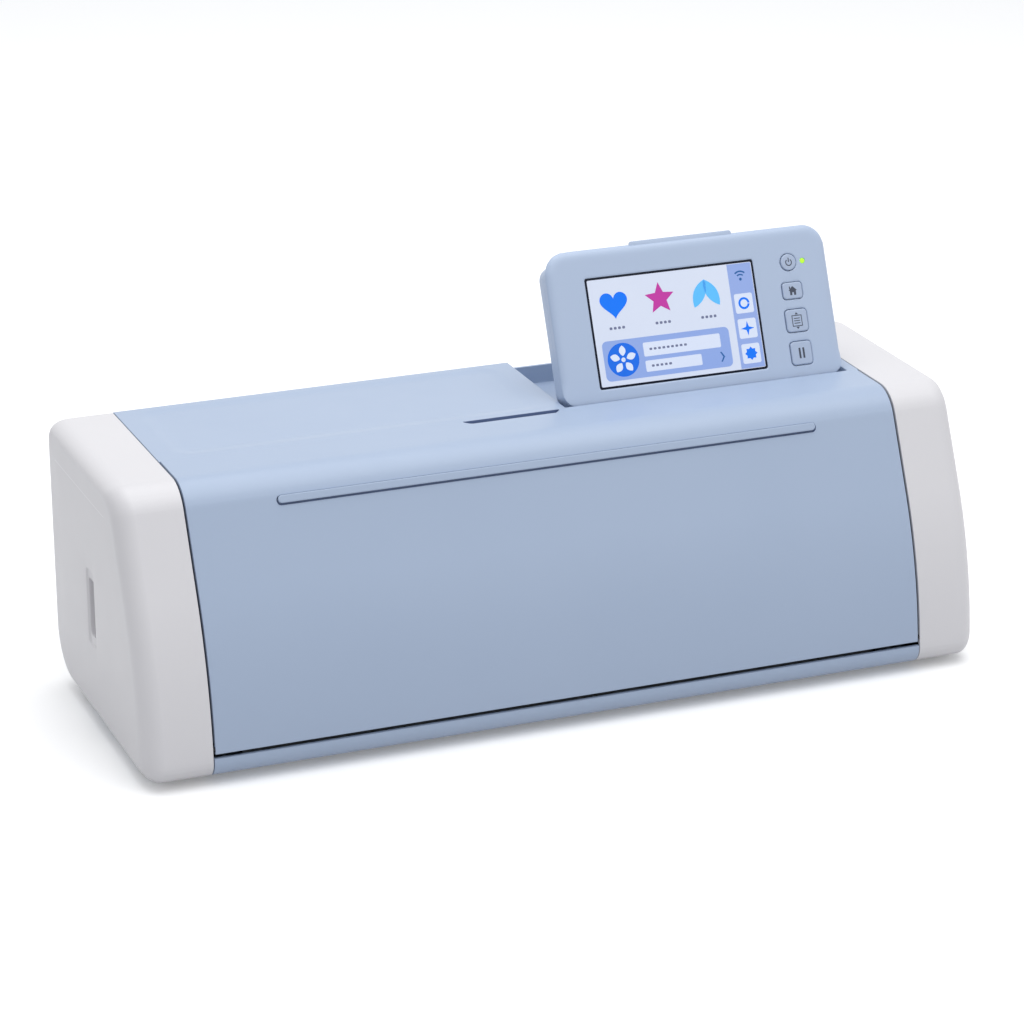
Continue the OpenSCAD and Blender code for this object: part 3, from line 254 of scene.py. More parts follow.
def moulded(name, colour, drift, rough=0.42, spread=0.10, grain=2600.0, bump=0.05,
            drift_scale=14.0, coat=0.0):
    """Moulded plastic from the grain group. Colours are linear RGB."""
    mat = bpy.data.materials.new(name)
    mat.use_nodes = True
    n, l = mat.node_tree.nodes, mat.node_tree.links
    bsdf = n["Principled BSDF"]
    g = n.new("ShaderNodeGroup")
    g.node_tree = GRAIN
    g.inputs["Colour"].default_value = (*colour, 1)
    g.inputs["Drift colour"].default_value = (*drift, 1)
    g.inputs["Drift scale"].default_value = drift_scale
    g.inputs["Grain scale"].default_value = grain
    g.inputs["Roughness"].default_value = rough
    g.inputs["Roughness spread"].default_value = spread
    b = n.new("ShaderNodeBump")
    b.inputs["Strength"].default_value = bump
    b.inputs["Distance"].default_value = 0.0002
    l.new(g.outputs["Colour"], bsdf.inputs["Base Color"])
    l.new(g.outputs["Roughness"], bsdf.inputs["Roughness"])
    l.new(g.outputs["Height"], b.inputs["Height"])
    l.new(b.outputs["Normal"], bsdf.inputs["Normal"])
    bsdf.inputs["Coat Weight"].default_value = coat
    bsdf.inputs["Coat Roughness"].default_value = 0.25
    return mat


WHITE_SHELL = moulded("white shell", (0.715, 0.704, 0.724), (0.685, 0.674, 0.695), rough=0.40, bump=0.035)


def add_painted_highlight_line(mat):
    """Painted highlight: a fine pale line at z = 137.4 mm on the left side, 1 - |z - z0| / 0.4 mm, between
    two depths.
    """
    n, l = mat.node_tree.nodes, mat.node_tree.links
    co = n.new("ShaderNodeTexCoord")
    axes = n.new("ShaderNodeSeparateXYZ")
    l.new(co.outputs["Object"], axes.inputs["Vector"])

    def math_node(kind, first, second):
        m = n.new("ShaderNodeMath")
        m.operation = kind
        m.use_clamp = kind == "MULTIPLY_ADD"
        for k, value in enumerate((first, second)):
            if isinstance(value, float):
                m.inputs[k].default_value = value
            else:
                l.new(value, m.inputs[k])
        return m

    off = math_node("SUBTRACT", axes.outputs["Z"], 0.1374)
    near = math_node("ABSOLUTE", off.outputs[0], 0.0)
    line = math_node("MULTIPLY_ADD", near.outputs[0], -2500.0)
    line.inputs[2].default_value = 1.0
    depth = math_node("SUBTRACT", axes.outputs["Y"], 0.026)
    reach = math_node("LESS_THAN", math_node("ABSOLUTE", depth.outputs[0], 0.0).outputs[0], 0.05)
    side = math_node("LESS_THAN", axes.outputs["X"], -0.2475)
    place = math_node("MULTIPLY", reach.outputs[0], side.outputs[0])
    mask = math_node("MULTIPLY", line.outputs[0], place.outputs[0])
    mix = n.new("ShaderNodeMix")
    mix.data_type = "RGBA"
    bsdf = n["Principled BSDF"]
    l.new(math_node("MULTIPLY", mask.outputs[0], 0.6).outputs[0], mix.inputs["Factor"])
    l.new(bsdf.inputs["Base Color"].links[0].from_socket, mix.inputs["A"])
    mix.inputs["B"].default_value = (0.93, 0.92, 0.94, 1)
    l.new(mix.outputs["Result"], bsdf.inputs["Base Color"])


# Painted highlight along a fine line on the left cap's side face.
add_painted_highlight_line(WHITE_SHELL)

RECESS_MID = np.array([11.0, 72.0])
CAP_WALL = 2.5
cap_angles = np.unique(np.concatenate([
    np.linspace(-math.pi, math.pi, 241)[:-1],
    np.arctan2(cap_outline(0)[:, 1] - RECESS_MID[1], cap_outline(0)[:, 0] - RECESS_MID[0]),
    np.arctan2(rounded(11, 72, 14, 44, 3)[:, 1] - RECESS_MID[1],
               rounded(11, 72, 14, 44, 3)[:, 0] - RECESS_MID[0]),
]).round(6))


def cap_ring(x, side, inset=0.0, k=0.0):
    """Ring of an end cap at width x, with an arch between the feet once it is past x = 234."""
    p = ray_hits(draw_in(cap_outline(inset), k), RECESS_MID, cap_angles)
    arch = np.sqrt(np.maximum(38.0**2 - (p[:, 0] - 7) ** 2, 0)) - 27.0
    rise = np.maximum(arch - p[:, 1], 0) * np.clip((x - 234) / 5, 0, 1)
    p[:, 1] = p[:, 1] + rise * (p[:, 1] < 40)
    return np.column_stack([np.full(len(p), side * x), p])


def flat_ring(outline, x, side):
    """Ring that follows a rounded rectangle about the recess middle, at width x."""
    p = ray_hits(outline, RECESS_MID, cap_angles)
    return np.column_stack([np.full(len(p), side * x), p])


def end_cap(name, node, side):
    """Loft of rings. Past x = 238 the width grows by 11 sin a and the draw by 1 - cos a, a quarter turn."""
    rings = [cap_ring(CAP_X + 18, side, CAP_WALL), cap_ring(CAP_X + 1, side, CAP_WALL),
             cap_ring(CAP_X + 0.1, side, CAP_WALL - 0.1), cap_ring(CAP_X, side, 0.4),
             cap_ring(CAP_X + 0.04, side, 0.15), cap_ring(CAP_X + 0.2, side)]
    rings += [cap_ring(x, side) for x in (216, 225, 234, 236, 238)]
    for a in np.radians(np.linspace(4, 90, 24)):
        rings.append(cap_ring(238 + 11 * math.sin(a), side, k=1 - math.cos(a)))
    edge = rings[-1]
    if side < 0:
        mouth = [(1.2, 0.0), (0.8, 0.06), (0.3, 0.28), (0.0, 0.6), (-0.3, 0.85), (-0.7, 0.95)]
        loops = [flat_ring(rounded(11, 72, 14 + 2 * g, 44 + 2 * g, 3 + g), HALF_W - d, side)
                 for g, d in mouth]
        for t in (0.4, 0.75):
            rings.append(edge * (1 - t) + loops[0] * t)
        rings += loops
        slot = [(0.3, 1.0), (0.05, 1.15), (-0.1, 1.6), (-0.25, 9.0)]
        rings += [flat_ring(rounded(11, 71.75, 12 + 2 * g, 33.5 + 2 * g, 2.4 + g), HALF_W - d, side)
                  for g, d in slot]
    else:
        mid = np.array([[HALF_W, 0, 70.0]])
        for t in (0.35, 0.7, 0.9):
            rings.append(edge * (1 - t) + mid * t)
    v, f = loft(rings, close=(False, True), flip=side < 0)
    obj = build(name, [(v, f)], sharp=40)
    link_material(obj, WHITE_SHELL)
    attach(obj, "machine_body")
    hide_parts(node)
    return obj


end_cap("left end cap", "left_end_cap", -1)
end_cap("right end cap", "right_end_cap", 1)

# ---------------------------------------------------------------------------------------------
# Front cover. Pale blue moulded door, 2.2 mm thick, that turns down on pins at its lower edge.
# A long rib is inlaid just under the corner, and a finger scoop is cut in the upper edge.
# ---------------------------------------------------------------------------------------------

BLUE = moulded("pale blue shell", (0.390, 0.476, 0.625), (0.370, 0.456, 0.605), rough=0.36, bump=0.03)

WALL = 2.2
COVER_X = 210.2
SEAM_Y = -2.8
COVER_LOW = 18.8
RIB_LEN, RIB_H, RIB_PROUD, RIB_SEAT, RIB_GAP = 319.3, 4.3, 1.2, 1.4, 0.6
RIB_MID = np.array([CORNER_Y - 0.4067 * 14.4, BODY_H - 0.9135 * 14.4])
FACE_UP = np.array([math.cos(SLOPE), math.sin(SLOPE)])
FACE_OUT = np.array([-math.sin(SLOPE), math.cos(SLOPE)])
HINGE = np.array([-HALF_D + 2.4, 21.0])
KNUCKLE_R = 1.85


def step(distance, width):
    """1 inside (distance < 0), 0 outside, with a smooth s-curve over the width."""
    t = np.clip(0.5 - distance / width, 0, 1)
    return t * t * (3 - 2 * t)


def capsule_distance(x, s, length, height):
    """Signed distance to a capsule about the origin: |p - nearest point of its spine| - height / 2."""
    dx = np.maximum(np.abs(x) - (length - height) / 2, 0)
    return np.hypot(dx, s) - height / 2


def lines(edges, marks, gap, fine=(0.12, 0.3, 0.7)):
    """Sorted grid lines over an interval, at most gap apart, with extra lines close to each mark."""
    out = list(np.arange(edges[0], edges[1], gap)) + [edges[1]]
    for m in marks:
        out += [m] + [m + s * d for d in fine for s in (-1, 1)]
    out = np.unique(np.round(out, 4))
    return out[(out >= edges[0]) & (out <= edges[1])]


def resample(line, wanted):
    """Points of a polyline at these arc lengths."""
    s = np.concatenate([[0], np.cumsum(np.hypot(*np.diff(line, axis=0).T))])
    return np.column_stack([np.interp(wanted, s, line[:, 0]), np.interp(wanted, s, line[:, 1])])


def strip_grid(nu, nv, closed=False):
    """Quads of a grid of nu columns by nv rows, rows fastest; closed joins the last row to the first."""
    i, j = np.meshgrid(np.arange(nu - 1), np.arange(nv if closed else nv - 1), indexing="ij")
    k = (j + 1) % nv
    q = np.stack([i * nv + j, (i + 1) * nv + j, (i + 1) * nv + k, i * nv + k], axis=-1)
    return q.reshape(-1, 4)


def front_door():
    """Skin r(x, s) = line(s) - depth(x, s) n(s), closed round the edges and along an inner skin 2.2 mm in.

    s runs along the outline. depth is 1.5 mm inside the rib's seat and 1.9 mm in the finger scoop.
    """
    line = front_line(0, SEAM_Y, COVER_LOW, fine=3)
    length = np.hypot(*np.diff(line, axis=0).T).sum()
    s_of = np.concatenate([[0], np.cumsum(np.hypot(*np.diff(line, axis=0).T))])
    rib_s = s_of[np.argmin(np.hypot(*(line - RIB_MID).T))]
    half = RIB_H / 2 + RIB_GAP
    s = lines((0.0, length), [rib_s - half, rib_s + half], 2.6, fine=(0.06, 0.14, 0.3, 0.6))
    s = np.unique(np.concatenate([s, np.arange(rib_s - half, rib_s + half, 0.35),
                                  [0.1, 0.25, 0.5, 0.9, 1.4, 1.9, 2.3, 2.7, 3.1, 3.5, 4.0, 4.6],
                                  length - np.array([0.1, 0.3, 0.6, 1.0])]))
    end = RIB_LEN / 2 + RIB_GAP
    x = lines((-COVER_X, COVER_X), [-35, 22.6], 6.0, fine=(0.6, 1.3, 2.0, 3.0, 4.2))
    for sgn in (-1, 1):
        mid = 0.45 + sgn * end
        x = np.concatenate([x, mid - sgn * np.arange(-0.4, 3.2, 0.22)])
    x = np.unique(np.round(np.concatenate([x, [-COVER_X + d for d in (0.08, 0.25, 0.55, 1.0)],
                                           [COVER_X - d for d in (0.08, 0.25, 0.55, 1.0)]]), 4))
    p = resample(line, s)
    tangent = np.gradient(p, axis=0)
    tangent /= np.hypot(*tangent.T)[:, None]
    normal = np.column_stack([-tangent[:, 1], tangent[:, 0]])
    X, S = np.meshgrid(x, s, indexing="ij")
    depth = 1.5 * step(capsule_distance(X - 0.45, S - rib_s, RIB_LEN + 2 * RIB_GAP, 2 * half), 0.16)
    reach = 4.6 * np.clip((X + 35) / 4, 0, 1) ** 0.6 * np.clip((22.6 - X) / 4, 0, 1) ** 0.6
    depth = depth + 1.9 * step(S - reach, 0.5) * (reach > 0.05)
    rim = np.clip(np.minimum(length - S, COVER_X - np.abs(X)) / 0.45, 0, 1)
    depth = np.maximum(depth, 0.35 * (1 - np.sqrt(np.clip(1 - (1 - rim) ** 2, 0, 1))))
    out = p[None, :, :] + normal[None, :, :] * depth[..., None]
    inner = p + normal * WALL
    grid = np.concatenate([out, np.broadcast_to(inner[::-1], (len(x), len(s), 2))], axis=1)
    nv = grid.shape[1]
    v = np.concatenate([np.broadcast_to(x[:, None, None], (len(x), nv, 1)), grid], axis=2).reshape(-1, 3)
    faces = strip_grid(len(x), nv, closed=True)
    j = np.arange(len(s) - 1)
    ends = [np.column_stack([j + 1, j, nv - 1 - j, nv - 2 - j]),
            (len(x) - 1) * nv + np.column_stack([j, j + 1, nv - 2 - j, nv - 1 - j])]
    return v, [row for f in [faces] + ends for row in f.tolist()]


def swept_wall(outer, inner, x0, x1):
    """Flat rib between two outlines of equal length, from x0 to x1."""
    ring = np.vstack([outer, inner[::-1]])
    n, m = len(ring), len(outer)
    v = np.vstack([np.column_stack([np.full(n, x), ring]) for x in (x0, x1)])
    i = np.arange(n)
    k = (i + 1) % n
    j = np.arange(m - 1)
    f = [np.column_stack([i, i + n, k + n, k]).tolist(),
         np.column_stack([j + 1, j, n - 1 - j, n - 2 - j])[:, ::-1].tolist(),
         (n + np.column_stack([j, j + 1, n - 2 - j, n - 1 - j]))[:, ::-1].tolist()]
    return v, [r for rows in f for r in rows]


def tube_x(x0, x1, y, z, r, n=32, chamfer=0.0):
    """Round bar along X as rings, with a small chamfer at both ends."""
    a = np.linspace(0, 2 * math.pi, n, endpoint=False)
    rings = []
    for x, rr in ((x0, r - chamfer), (x0 + chamfer, r), (x1 - chamfer, r), (x1, r - chamfer)):
        rings.append(np.column_stack([np.full(n, x), y + rr * np.cos(a), z + rr * np.sin(a)]))
    return loft(rings)


cover_parts = [front_door()]
for sgn in (-1, 1):
    a, b = sorted((sgn * COVER_X, sgn * (COVER_X - 2)))
    cover_parts.append(swept_wall(front_line(2.0, SEAM_Y, 24), front_line(8.5, SEAM_Y, 24), a, b))
    a, b = sorted((sgn * COVER_X, sgn * 196))
    cover_parts.append(tube_x(a, b, HINGE[0], HINGE[1], KNUCKLE_R, chamfer=0.3))
front_cover = build("front cover", cover_parts, sharp=28)
# Painted shade: a dark blue on the finger notch and on the seat round the rib, where shade falls in the gaps.
SHADE_BLUE = moulded("painted shade blue", (0.13, 0.18, 0.32), (0.115, 0.16, 0.29), rough=0.45, bump=0.03)


def second_material(obj, first, second, chosen):
    """Two materials on one object: the second on the faces whose middles (mm) pass the test."""
    link_material(obj, first)
    obj.data.materials.append(second)
    middles = np.empty(3 * len(obj.data.polygons))
    obj.data.polygons.foreach_get("center", middles)
    x, y, z = (middles.reshape(-1, 3) / MM).T
    obj.data.polygons.foreach_set("material_index", chosen(x, y, z).astype(np.int32))


def painted_shade_faces(x, y, z):
    """Faces that get the painted shade: walls and floor of the finger notch, and the seat round the inlaid
    rib.
    """
    notch = (x > -36) & (x < 23.6) & (y > SEAM_Y - 5.2) & (y < SEAM_Y + 0.5)
    notch = notch & (z > BODY_H - 2.1) & (z < BODY_H - 0.25)
    out = (y - RIB_MID[0]) * FACE_OUT[0] + (z - RIB_MID[1]) * FACE_OUT[1]
    up = (y - RIB_MID[0]) * FACE_UP[0] + (z - RIB_MID[1]) * FACE_UP[1]
    seat = (out < -0.35) & (out > -1.7) & (np.abs(up) < 3.2) & (np.abs(x) < RIB_LEN / 2 + 2)
    return notch | seat


# The notch and rib seat faces of the front cover get the painted shade.
second_material(front_cover, BLUE, SHADE_BLUE, painted_shade_faces)
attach(front_cover, "front_cover_body")
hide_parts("front_cover")


def capsule_ring(length, height, n=20):
    """Closed capsule outline, anticlockwise."""
    a = np.radians(np.linspace(-90, 90, n + 1))
    c = (length - height) / 2
    right = np.column_stack([c + height / 2 * np.cos(a), height / 2 * np.sin(a)])
    return np.vstack([right, -right])


def cover_rib():
    """Inlaid rib: capsule rings stacked out of the face and drawn in over a rounded edge of 0.8 mm."""
    rings = []
    for draw, out in [(0, -RIB_SEAT), (0, 0.0), (0, 0.75), (0.05, 0.95), (0.16, 1.09), (0.32, 1.17),
                      (0.55, RIB_PROUD), (1.4, RIB_PROUD)]:
        flat = capsule_ring(RIB_LEN - 2 * draw, RIB_H - 2 * draw)
        yz = RIB_MID + flat[:, 1:2] * FACE_UP + out * FACE_OUT
        rings.append(np.column_stack([flat[:, 0] + 0.45, yz]))
    return loft(rings)


rib = build("inlaid rib", [cover_rib()], sharp=40)
link_material(rib, BLUE)
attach(rib, "front_cover_body")
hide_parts("cover_rib")

# ---------------------------------------------------------------------------------------------
# Top cover. Pale blue lid, clipped to the rear cover and the side frames, with a shallow dished
# field on the left and a deep recess on the right that takes the folded panel.
# ---------------------------------------------------------------------------------------------

MID_W = 211.0
RX0, RX1, RY0, RY1 = 27.9, 204.0, -0.7, 85.8
FLOOR_Z, BACK_Z = 142.5, 153.0


def box_distance(x, y, x0, x1, y0, y1, r):
    """Signed distance to a rounded rectangle: outside |max(q, 0)| - r, inside max(qx, qy) - r."""
    qx = np.abs(x - (x0 + x1) / 2) - (x1 - x0) / 2 + r
    qy = np.abs(y - (y0 + y1) / 2) - (y1 - y0) / 2 + r
    return np.hypot(np.maximum(qx, 0), np.maximum(qy, 0)) + np.minimum(np.maximum(qx, qy), 0) - r


def lid_height(x, y):
    """Height of the lid: flat, less a soft 0.8 mm dish, less the panel recess with its rounded rim."""
    dish = 0.8 * step(box_distance(x, y, -196, 14, 6, 80, 9), 9.0)
    z = BODY_H - dish
    edge = box_distance(x, y, RX0, RX1, RY0, 200, 0.4)
    wall = step(edge - 0.15, 0.5)
    rear = step(RY1 - y + 0.1, 0.5)
    low = FLOOR_Z + (BACK_Z - FLOOR_Z) * rear
    rim = 0.35 * step(edge - 0.7, 1.2)
    return (z - rim) * (1 - wall) + low * wall


def top_lid():
    """Height field over plan, carried round the front and rear skirts as one closed section."""
    x = lines((-MID_W, MID_W), [RX0, RX1], 5.0, fine=(0.08, 0.2, 0.35, 0.55, 0.9, 1.4))
    x = np.unique(np.concatenate([x, [-MID_W + 0.1, -MID_W + 0.3, MID_W - 0.1, MID_W - 0.3],
                                  np.arange(-202, -186, 1.5), np.arange(4, 20, 1.5)]).round(4))
    y = lines((SEAM_Y + 0.65, HALF_D - 2), [RY0, RY1], 4.0, fine=(0.08, 0.2, 0.35, 0.55, 0.9, 1.4))
    y = np.unique(np.concatenate([y, np.arange(0, 14, 1.5), np.arange(72, 86, 1.5)]).round(4))
    front = np.array([[SEAM_Y + 0.1, 146.0], [SEAM_Y + 0.1, BODY_H - 0.2], [SEAM_Y + 0.12, BODY_H - 0.06],
                      [SEAM_Y + 0.2, BODY_H - 0.01]])
    rear = np.vstack([arc(HALF_D - 2, BODY_H - 2, 2, 90, 0, 8)[1:], [[HALF_D, 151.0]]])
    X, Y = np.meshgrid(x, y, indexing="ij")
    Z = lid_height(X, Y)
    nx = len(x)
    tip = np.clip((MID_W - np.abs(x)) / 0.3, 0, 1)
    Z = Z - 0.25 * (1 - tip)[:, None] ** 2
    rear_all = np.broadcast_to(rear, (nx, len(rear), 2)).copy()
    sunk = step(box_distance(x[:, None], 0 * x[:, None], RX0, RX1, -9, 9, 0.1) - 0.15, 0.5)
    drop = np.minimum(rear[None, :, 1], BACK_Z - np.maximum(0, rear[None, :, 0] - (HALF_D - 1.0)) * 0.4)
    rear_all[:, :, 1] = rear[None, :, 1] * (1 - sunk) + drop * sunk
    under_y = y[::-1]
    UX, UY = np.meshgrid(x, under_y, indexing="ij")
    pocket = step(box_distance(UX, UY, RX0 - WALL, RX1 + WALL, RY0 - 1.6, 200, 0.4), 0.6)
    under = (BODY_H - WALL) * (1 - pocket) + (FLOOR_Z - 2) * pocket
    skirt = np.array([[HALF_D - WALL, 151.0], [HALF_D - WALL, 152.0]])
    skirt = np.broadcast_to(skirt, (nx, 2, 2))
    lip = np.broadcast_to(np.array([[SEAM_Y + 2.1, 147.0], [SEAM_Y + 2.1, 146.0]]), (nx, 2, 2))
    section = np.concatenate([
        np.broadcast_to(front, (nx, 4, 2)), np.stack([Y, Z], axis=-1), rear_all, skirt,
        np.stack([np.clip(UY, SEAM_Y + 2.1, HALF_D - WALL),
                  np.where(UY > HALF_D - WALL, 152.0, under)], axis=-1),
        lip], axis=1)
    nv = section.shape[1]
    v = np.concatenate([np.broadcast_to(x[:, None, None], (nx, nv, 1)), section], axis=2).reshape(-1, 3)
    faces = strip_grid(nx, nv, closed=True).tolist()
    faces += [list(range(nv - 1, -1, -1)), list(range((nx - 1) * nv, nx * nv))]
    return v, faces


lid_parts = [top_lid()]
for base_x in (0, 1):
    for x in (47.7, 63.6):
        a, b = (x, x + 3.1) if base_x == 0 else (231.9 - x - 3.1, 231.9 - x)
        lid_parts.append(tube_x(a, b, 3.0, 153.3, 2.0, chamfer=0.15))
        ear = np.array([[-1.2, 151.3], [3.0, 151.3], [3.0, 155.3], [-1.2, 155.3]])
        lid_parts.append(loft([np.column_stack([np.full(4, q), ear]) for q in (a, b)]))
top_cover = build("top cover", lid_parts, sharp=26)
# Painted shade: the lid's front wall behind the finger notch gets the same dark blue.
second_material(top_cover, BLUE, SHADE_BLUE, lambda x, y, z: (
    (x > -36) & (x < 23.6) & (y < SEAM_Y + 0.11) & (z > 146.5)))
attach(top_cover, "machine_body")
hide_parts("top_cover")

# ---------------------------------------------------------------------------------------------
# Base tray and feet. A blue moulded tray turned up at the front as a lip under the front cover
# and at the back as a heel. Flat wings run under the end caps and carry four rubber feet.
# ---------------------------------------------------------------------------------------------


def base_section(inset):
    """Outline of the tray from the lip, round the front curl, along the floor and up the heel."""
    return np.vstack([[[-HALF_D + inset, 16.3]], arc(-HALF_D + LIP_R, LIP_Z, LIP_R - inset, 180, 270, 14),
                      arc(HALF_D - HEEL_R, HEEL_Z, HEEL_R - inset, 270, 360, 24)])


tray_parts = [swept_wall(base_section(0), base_section(2.5), -MID_W, MID_W)]
for sgn in (-1, 1):
    wing = rounded(sgn * 227, -4, 33, 131, 3, n=6)
    tray_parts.append(loft([np.column_stack([wing, np.full(len(wing), z)]) for z in (3.9, 6.5)]))
base_tray = build("base tray", tray_parts, sharp=24)
link_material(base_tray, BLUE)
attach(base_tray, "machine_body")
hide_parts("base_tray")

RUBBER = moulded("black rubber", (0.018, 0.018, 0.02), (0.03, 0.03, 0.032),
                 rough=0.7, bump=0.25, grain=1500.0)


def foot(x, y):
    """Rubber foot: circles stacked down to a rounded rim."""
    a = np.linspace(0, 2 * math.pi, 48, endpoint=False)
    rings = [np.column_stack([x + r * np.cos(a), y + r * np.sin(a), np.full(48, z)])
             for r, z in ((4.6, 0.0), (5.6, 0.06), (6.1, 0.4), (6.3, 1.0), (7.0, 4.0))]
    return loft(rings)


feet = build("rubber feet", [foot(sx * 236.5, sy) for sx in (-1, 1) for sy in (-58, 53)], sharp=40)
link_material(feet, RUBBER)
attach(feet, "machine_body")
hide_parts("rubber_feet")

# ---------------------------------------------------------------------------------------------
# Operation panel. Grey-blue bezel with pillowed edges, a touch screen behind glass in a thin
# black surround, four keys and a green lamp, closed by a plain back. It turns on two pins.
# ---------------------------------------------------------------------------------------------

PANEL_BLUE = moulded("panel blue", (0.45, 0.54, 0.70), (0.43, 0.52, 0.68), rough=0.38, bump=0.03)

LEAN = math.radians(22.6)
PIVOT = np.array([0.0, 3.0, 153.3])
PANEL_TURN = np.array([[1, 0, 0], [0, math.cos(LEAN), math.sin(LEAN)], [0, -math.sin(LEAN), math.cos(LEAN)]])
PX0, PX1, PS0, PS1 = 28.7, 203.2, 1.0, 89.0
FACE = -3.2
SCREEN_MID = (103.5, 40.56)
SCREEN_W, SCREEN_H = 102.8, 61.6
KEY_X = 178.2
KEYS = {"power": (KEY_X, 68.16, 9.5, 9.5, 4.75), "home": (KEY_X, 51.56, 12.3, 9.5, 2.0),
        "feed": (KEY_X, 34.06, 13.5, 13.0, 2.2), "pause": (KEY_X, 15.06, 13.0, 13.5, 2.2)}
LAMP = (187.3, 68.16)


def to_panel(x, s, depth):
    """Panel coordinates (across, up the face, depth behind the hinge plane) to the machine's frame, mm."""
    p = np.stack([x, depth, s], axis=-1)
    return p @ PANEL_TURN.T + PIVOT


def panel_outline(draw, top=PS1, r_top=13.0, r_low=8.0, n=18):
    """Closed outline with wider corners at the top, drawn in all round."""
    a = np.radians(np.linspace(0, 90, n + 1))
    out = []
    for k, (sx, st, r0) in enumerate([(1, 1, r_top), (-1, 1, r_top), (-1, -1, r_low), (1, -1, r_low)]):
        r = max(r0 - draw, 0.3)
        cx = (PX1 - draw - r) if sx > 0 else (PX0 + draw + r)
        cs = (top - draw - r) if st > 0 else (PS0 + draw + r)
        out.append(np.column_stack([cx + r * np.cos(a + k * math.pi / 2),
                                    cs + r * np.sin(a + k * math.pi / 2)]))
    return np.vstack(out)


def bezel_depth(x, s):
    """How far the bezel's face lies behind its front plane: holes for the glass, keys and lamp."""
    d = 1.9 * step(box_distance(x, s, SCREEN_MID[0] - 52.5, SCREEN_MID[0] + 52.5,
                                SCREEN_MID[1] - 31.9, SCREEN_MID[1] + 31.9, 1.6) - 0.02, 0.16)
    d = np.maximum(d, 0.25 * step(box_distance(x, s, SCREEN_MID[0] - 52.5, SCREEN_MID[0] + 52.5,
                                               SCREEN_MID[1] - 31.9, SCREEN_MID[1] + 31.9, 1.6) - 0.5, 0.9))
    for cx, cs, w, h, r in KEYS.values():
        e = box_distance(x, s, cx - w / 2 - 0.32, cx + w / 2 + 0.32,
                         cs - h / 2 - 0.32, cs + h / 2 + 0.32, r + 0.32)
        d = np.maximum(d, 1.9 * step(e, 0.18))
        d = np.maximum(d, 0.30 * step(e - 0.45, 0.9))
    lamp = np.hypot(x - LAMP[0], s - LAMP[1]) - 1.55
    return np.maximum(d, 1.2 * step(lamp, 0.2))


def bezel_face():
    """Front face: a plan grid inside a rectangle, joined to rings that run out to the rounded outline."""
    gx = [lines((41.0, 193.5), [51.0, 156.0], 4.5, fine=(0.08, 0.2, 0.4, 0.8, 1.4))]
    gx.append(np.arange(169.5, 187.2, 0.28))
    gx.append(np.arange(185.2, 189.6, 0.28))
    gx = np.unique(np.concatenate(gx).round(3))
    gs = [lines((6.9, 77.5), [8.66, 72.46], 4.5, fine=(0.08, 0.2, 0.4, 0.8, 1.4))]
    for _, cs, _, h, _ in KEYS.values():
        gs.append(np.arange(cs - h / 2 - 1.3, cs + h / 2 + 1.3, 0.28))
    gs = np.unique(np.concatenate(gs).round(3))
    X, S = np.meshgrid(gx, gs, indexing="ij")
    nx, ns = X.shape
    face = to_panel(X, S, FACE + bezel_depth(X, S)).reshape(-1, 3)
    quads = strip_grid(nx, ns)
    index = np.arange(nx * ns).reshape(nx, ns)
    loop = np.concatenate([index[:-1, 0], index[-1, :-1], index[:0:-1, -1], index[0, :0:-1]])
    rim = np.column_stack([X.ravel()[loop], S.ravel()[loop]])
    mid = np.array([(PX0 + PX1) / 2, (PS0 + PS1) / 2])
    angles = np.arctan2(rim[:, 1] - mid[1], rim[:, 0] - mid[0])
    rings = []
    pillow = [(5.6, 0.0), (4.4, 0.06), (3.3, 0.24), (2.3, 0.52),
              (1.45, 0.92), (0.8, 1.4), (0.3, 1.95), (0.0, 2.6)]
    for t in (0.35, 0.7):
        target = ray_hits(panel_outline(5.6), mid, angles)
        p = rim * (1 - t) + target * t
        rings.append(to_panel(p[:, 0], p[:, 1], np.full(len(p), FACE)))
    for draw, back in pillow:
        p = ray_hits(panel_outline(draw), mid, angles)
        soft = 0.15 + 0.85 * np.clip((p[:, 1] - 5) / 10, 0, 1)
        rings.append(to_panel(p[:, 0], p[:, 1], FACE + back * soft))
    p0 = ray_hits(panel_outline(0.0), mid, angles)
    rings.append(to_panel(p0[:, 0], p0[:, 1], np.full(len(p0), FACE + 2.8)))
    p1 = ray_hits(panel_outline(0.25), mid, angles)
    rings.append(to_panel(p1[:, 0], p1[:, 1], np.full(len(p1), FACE + 3.0)))
    body = ray_hits(panel_outline(0.0, top=82.3, r_top=8.0), mid, angles)
    rings.append(to_panel(body[:, 0], body[:, 1], np.full(len(body), FACE + 3.02)))
    rings.append(to_panel(body[:, 0], body[:, 1], np.full(len(body), 3.3)))
    inner = ray_hits(panel_outline(1.8, top=82.3, r_top=8.0), mid, angles)
    rings.append(to_panel(inner[:, 0], inner[:, 1], np.full(len(inner), 3.3)))
    rings.append(to_panel(inner[:, 0], inner[:, 1], np.full(len(inner), -1.0)))
    m = len(loop)
    base = nx * ns
    verts = np.vstack([face] + rings)
    i = np.arange(m)
    j = (i + 1) % m
    faces = quads.tolist()
    faces += np.column_stack([loop[i], base + i, base + j, loop[j]]).tolist()
    for k in range(len(rings) - 1):
        a, b = base + k * m, base + (k + 1) * m
        faces += np.column_stack([a + i, b + i, b + j, a + j]).tolist()
    return verts, faces


def panel_block(x0, x1, s0, s1, d0, d1, r=0.6, corner=0.5):
    """Block in panel coordinates with rounded corners and softened front edges."""
    rings = []
    for draw, d in ((r, d0), (r * 0.3, d0 + r * 0.3), (0, d0 + r),
                    (0, d1 - r), (r * 0.3, d1 - r * 0.3), (r, d1)):
        p = rounded((x0 + x1) / 2, (s0 + s1) / 2, x1 - x0 - 2 * draw, s1 - s0 - 2 * draw, corner, n=5)
        rings.append(to_panel(p[:, 0], p[:, 1], np.full(len(p), d)))
    return loft(rings, flip=True)


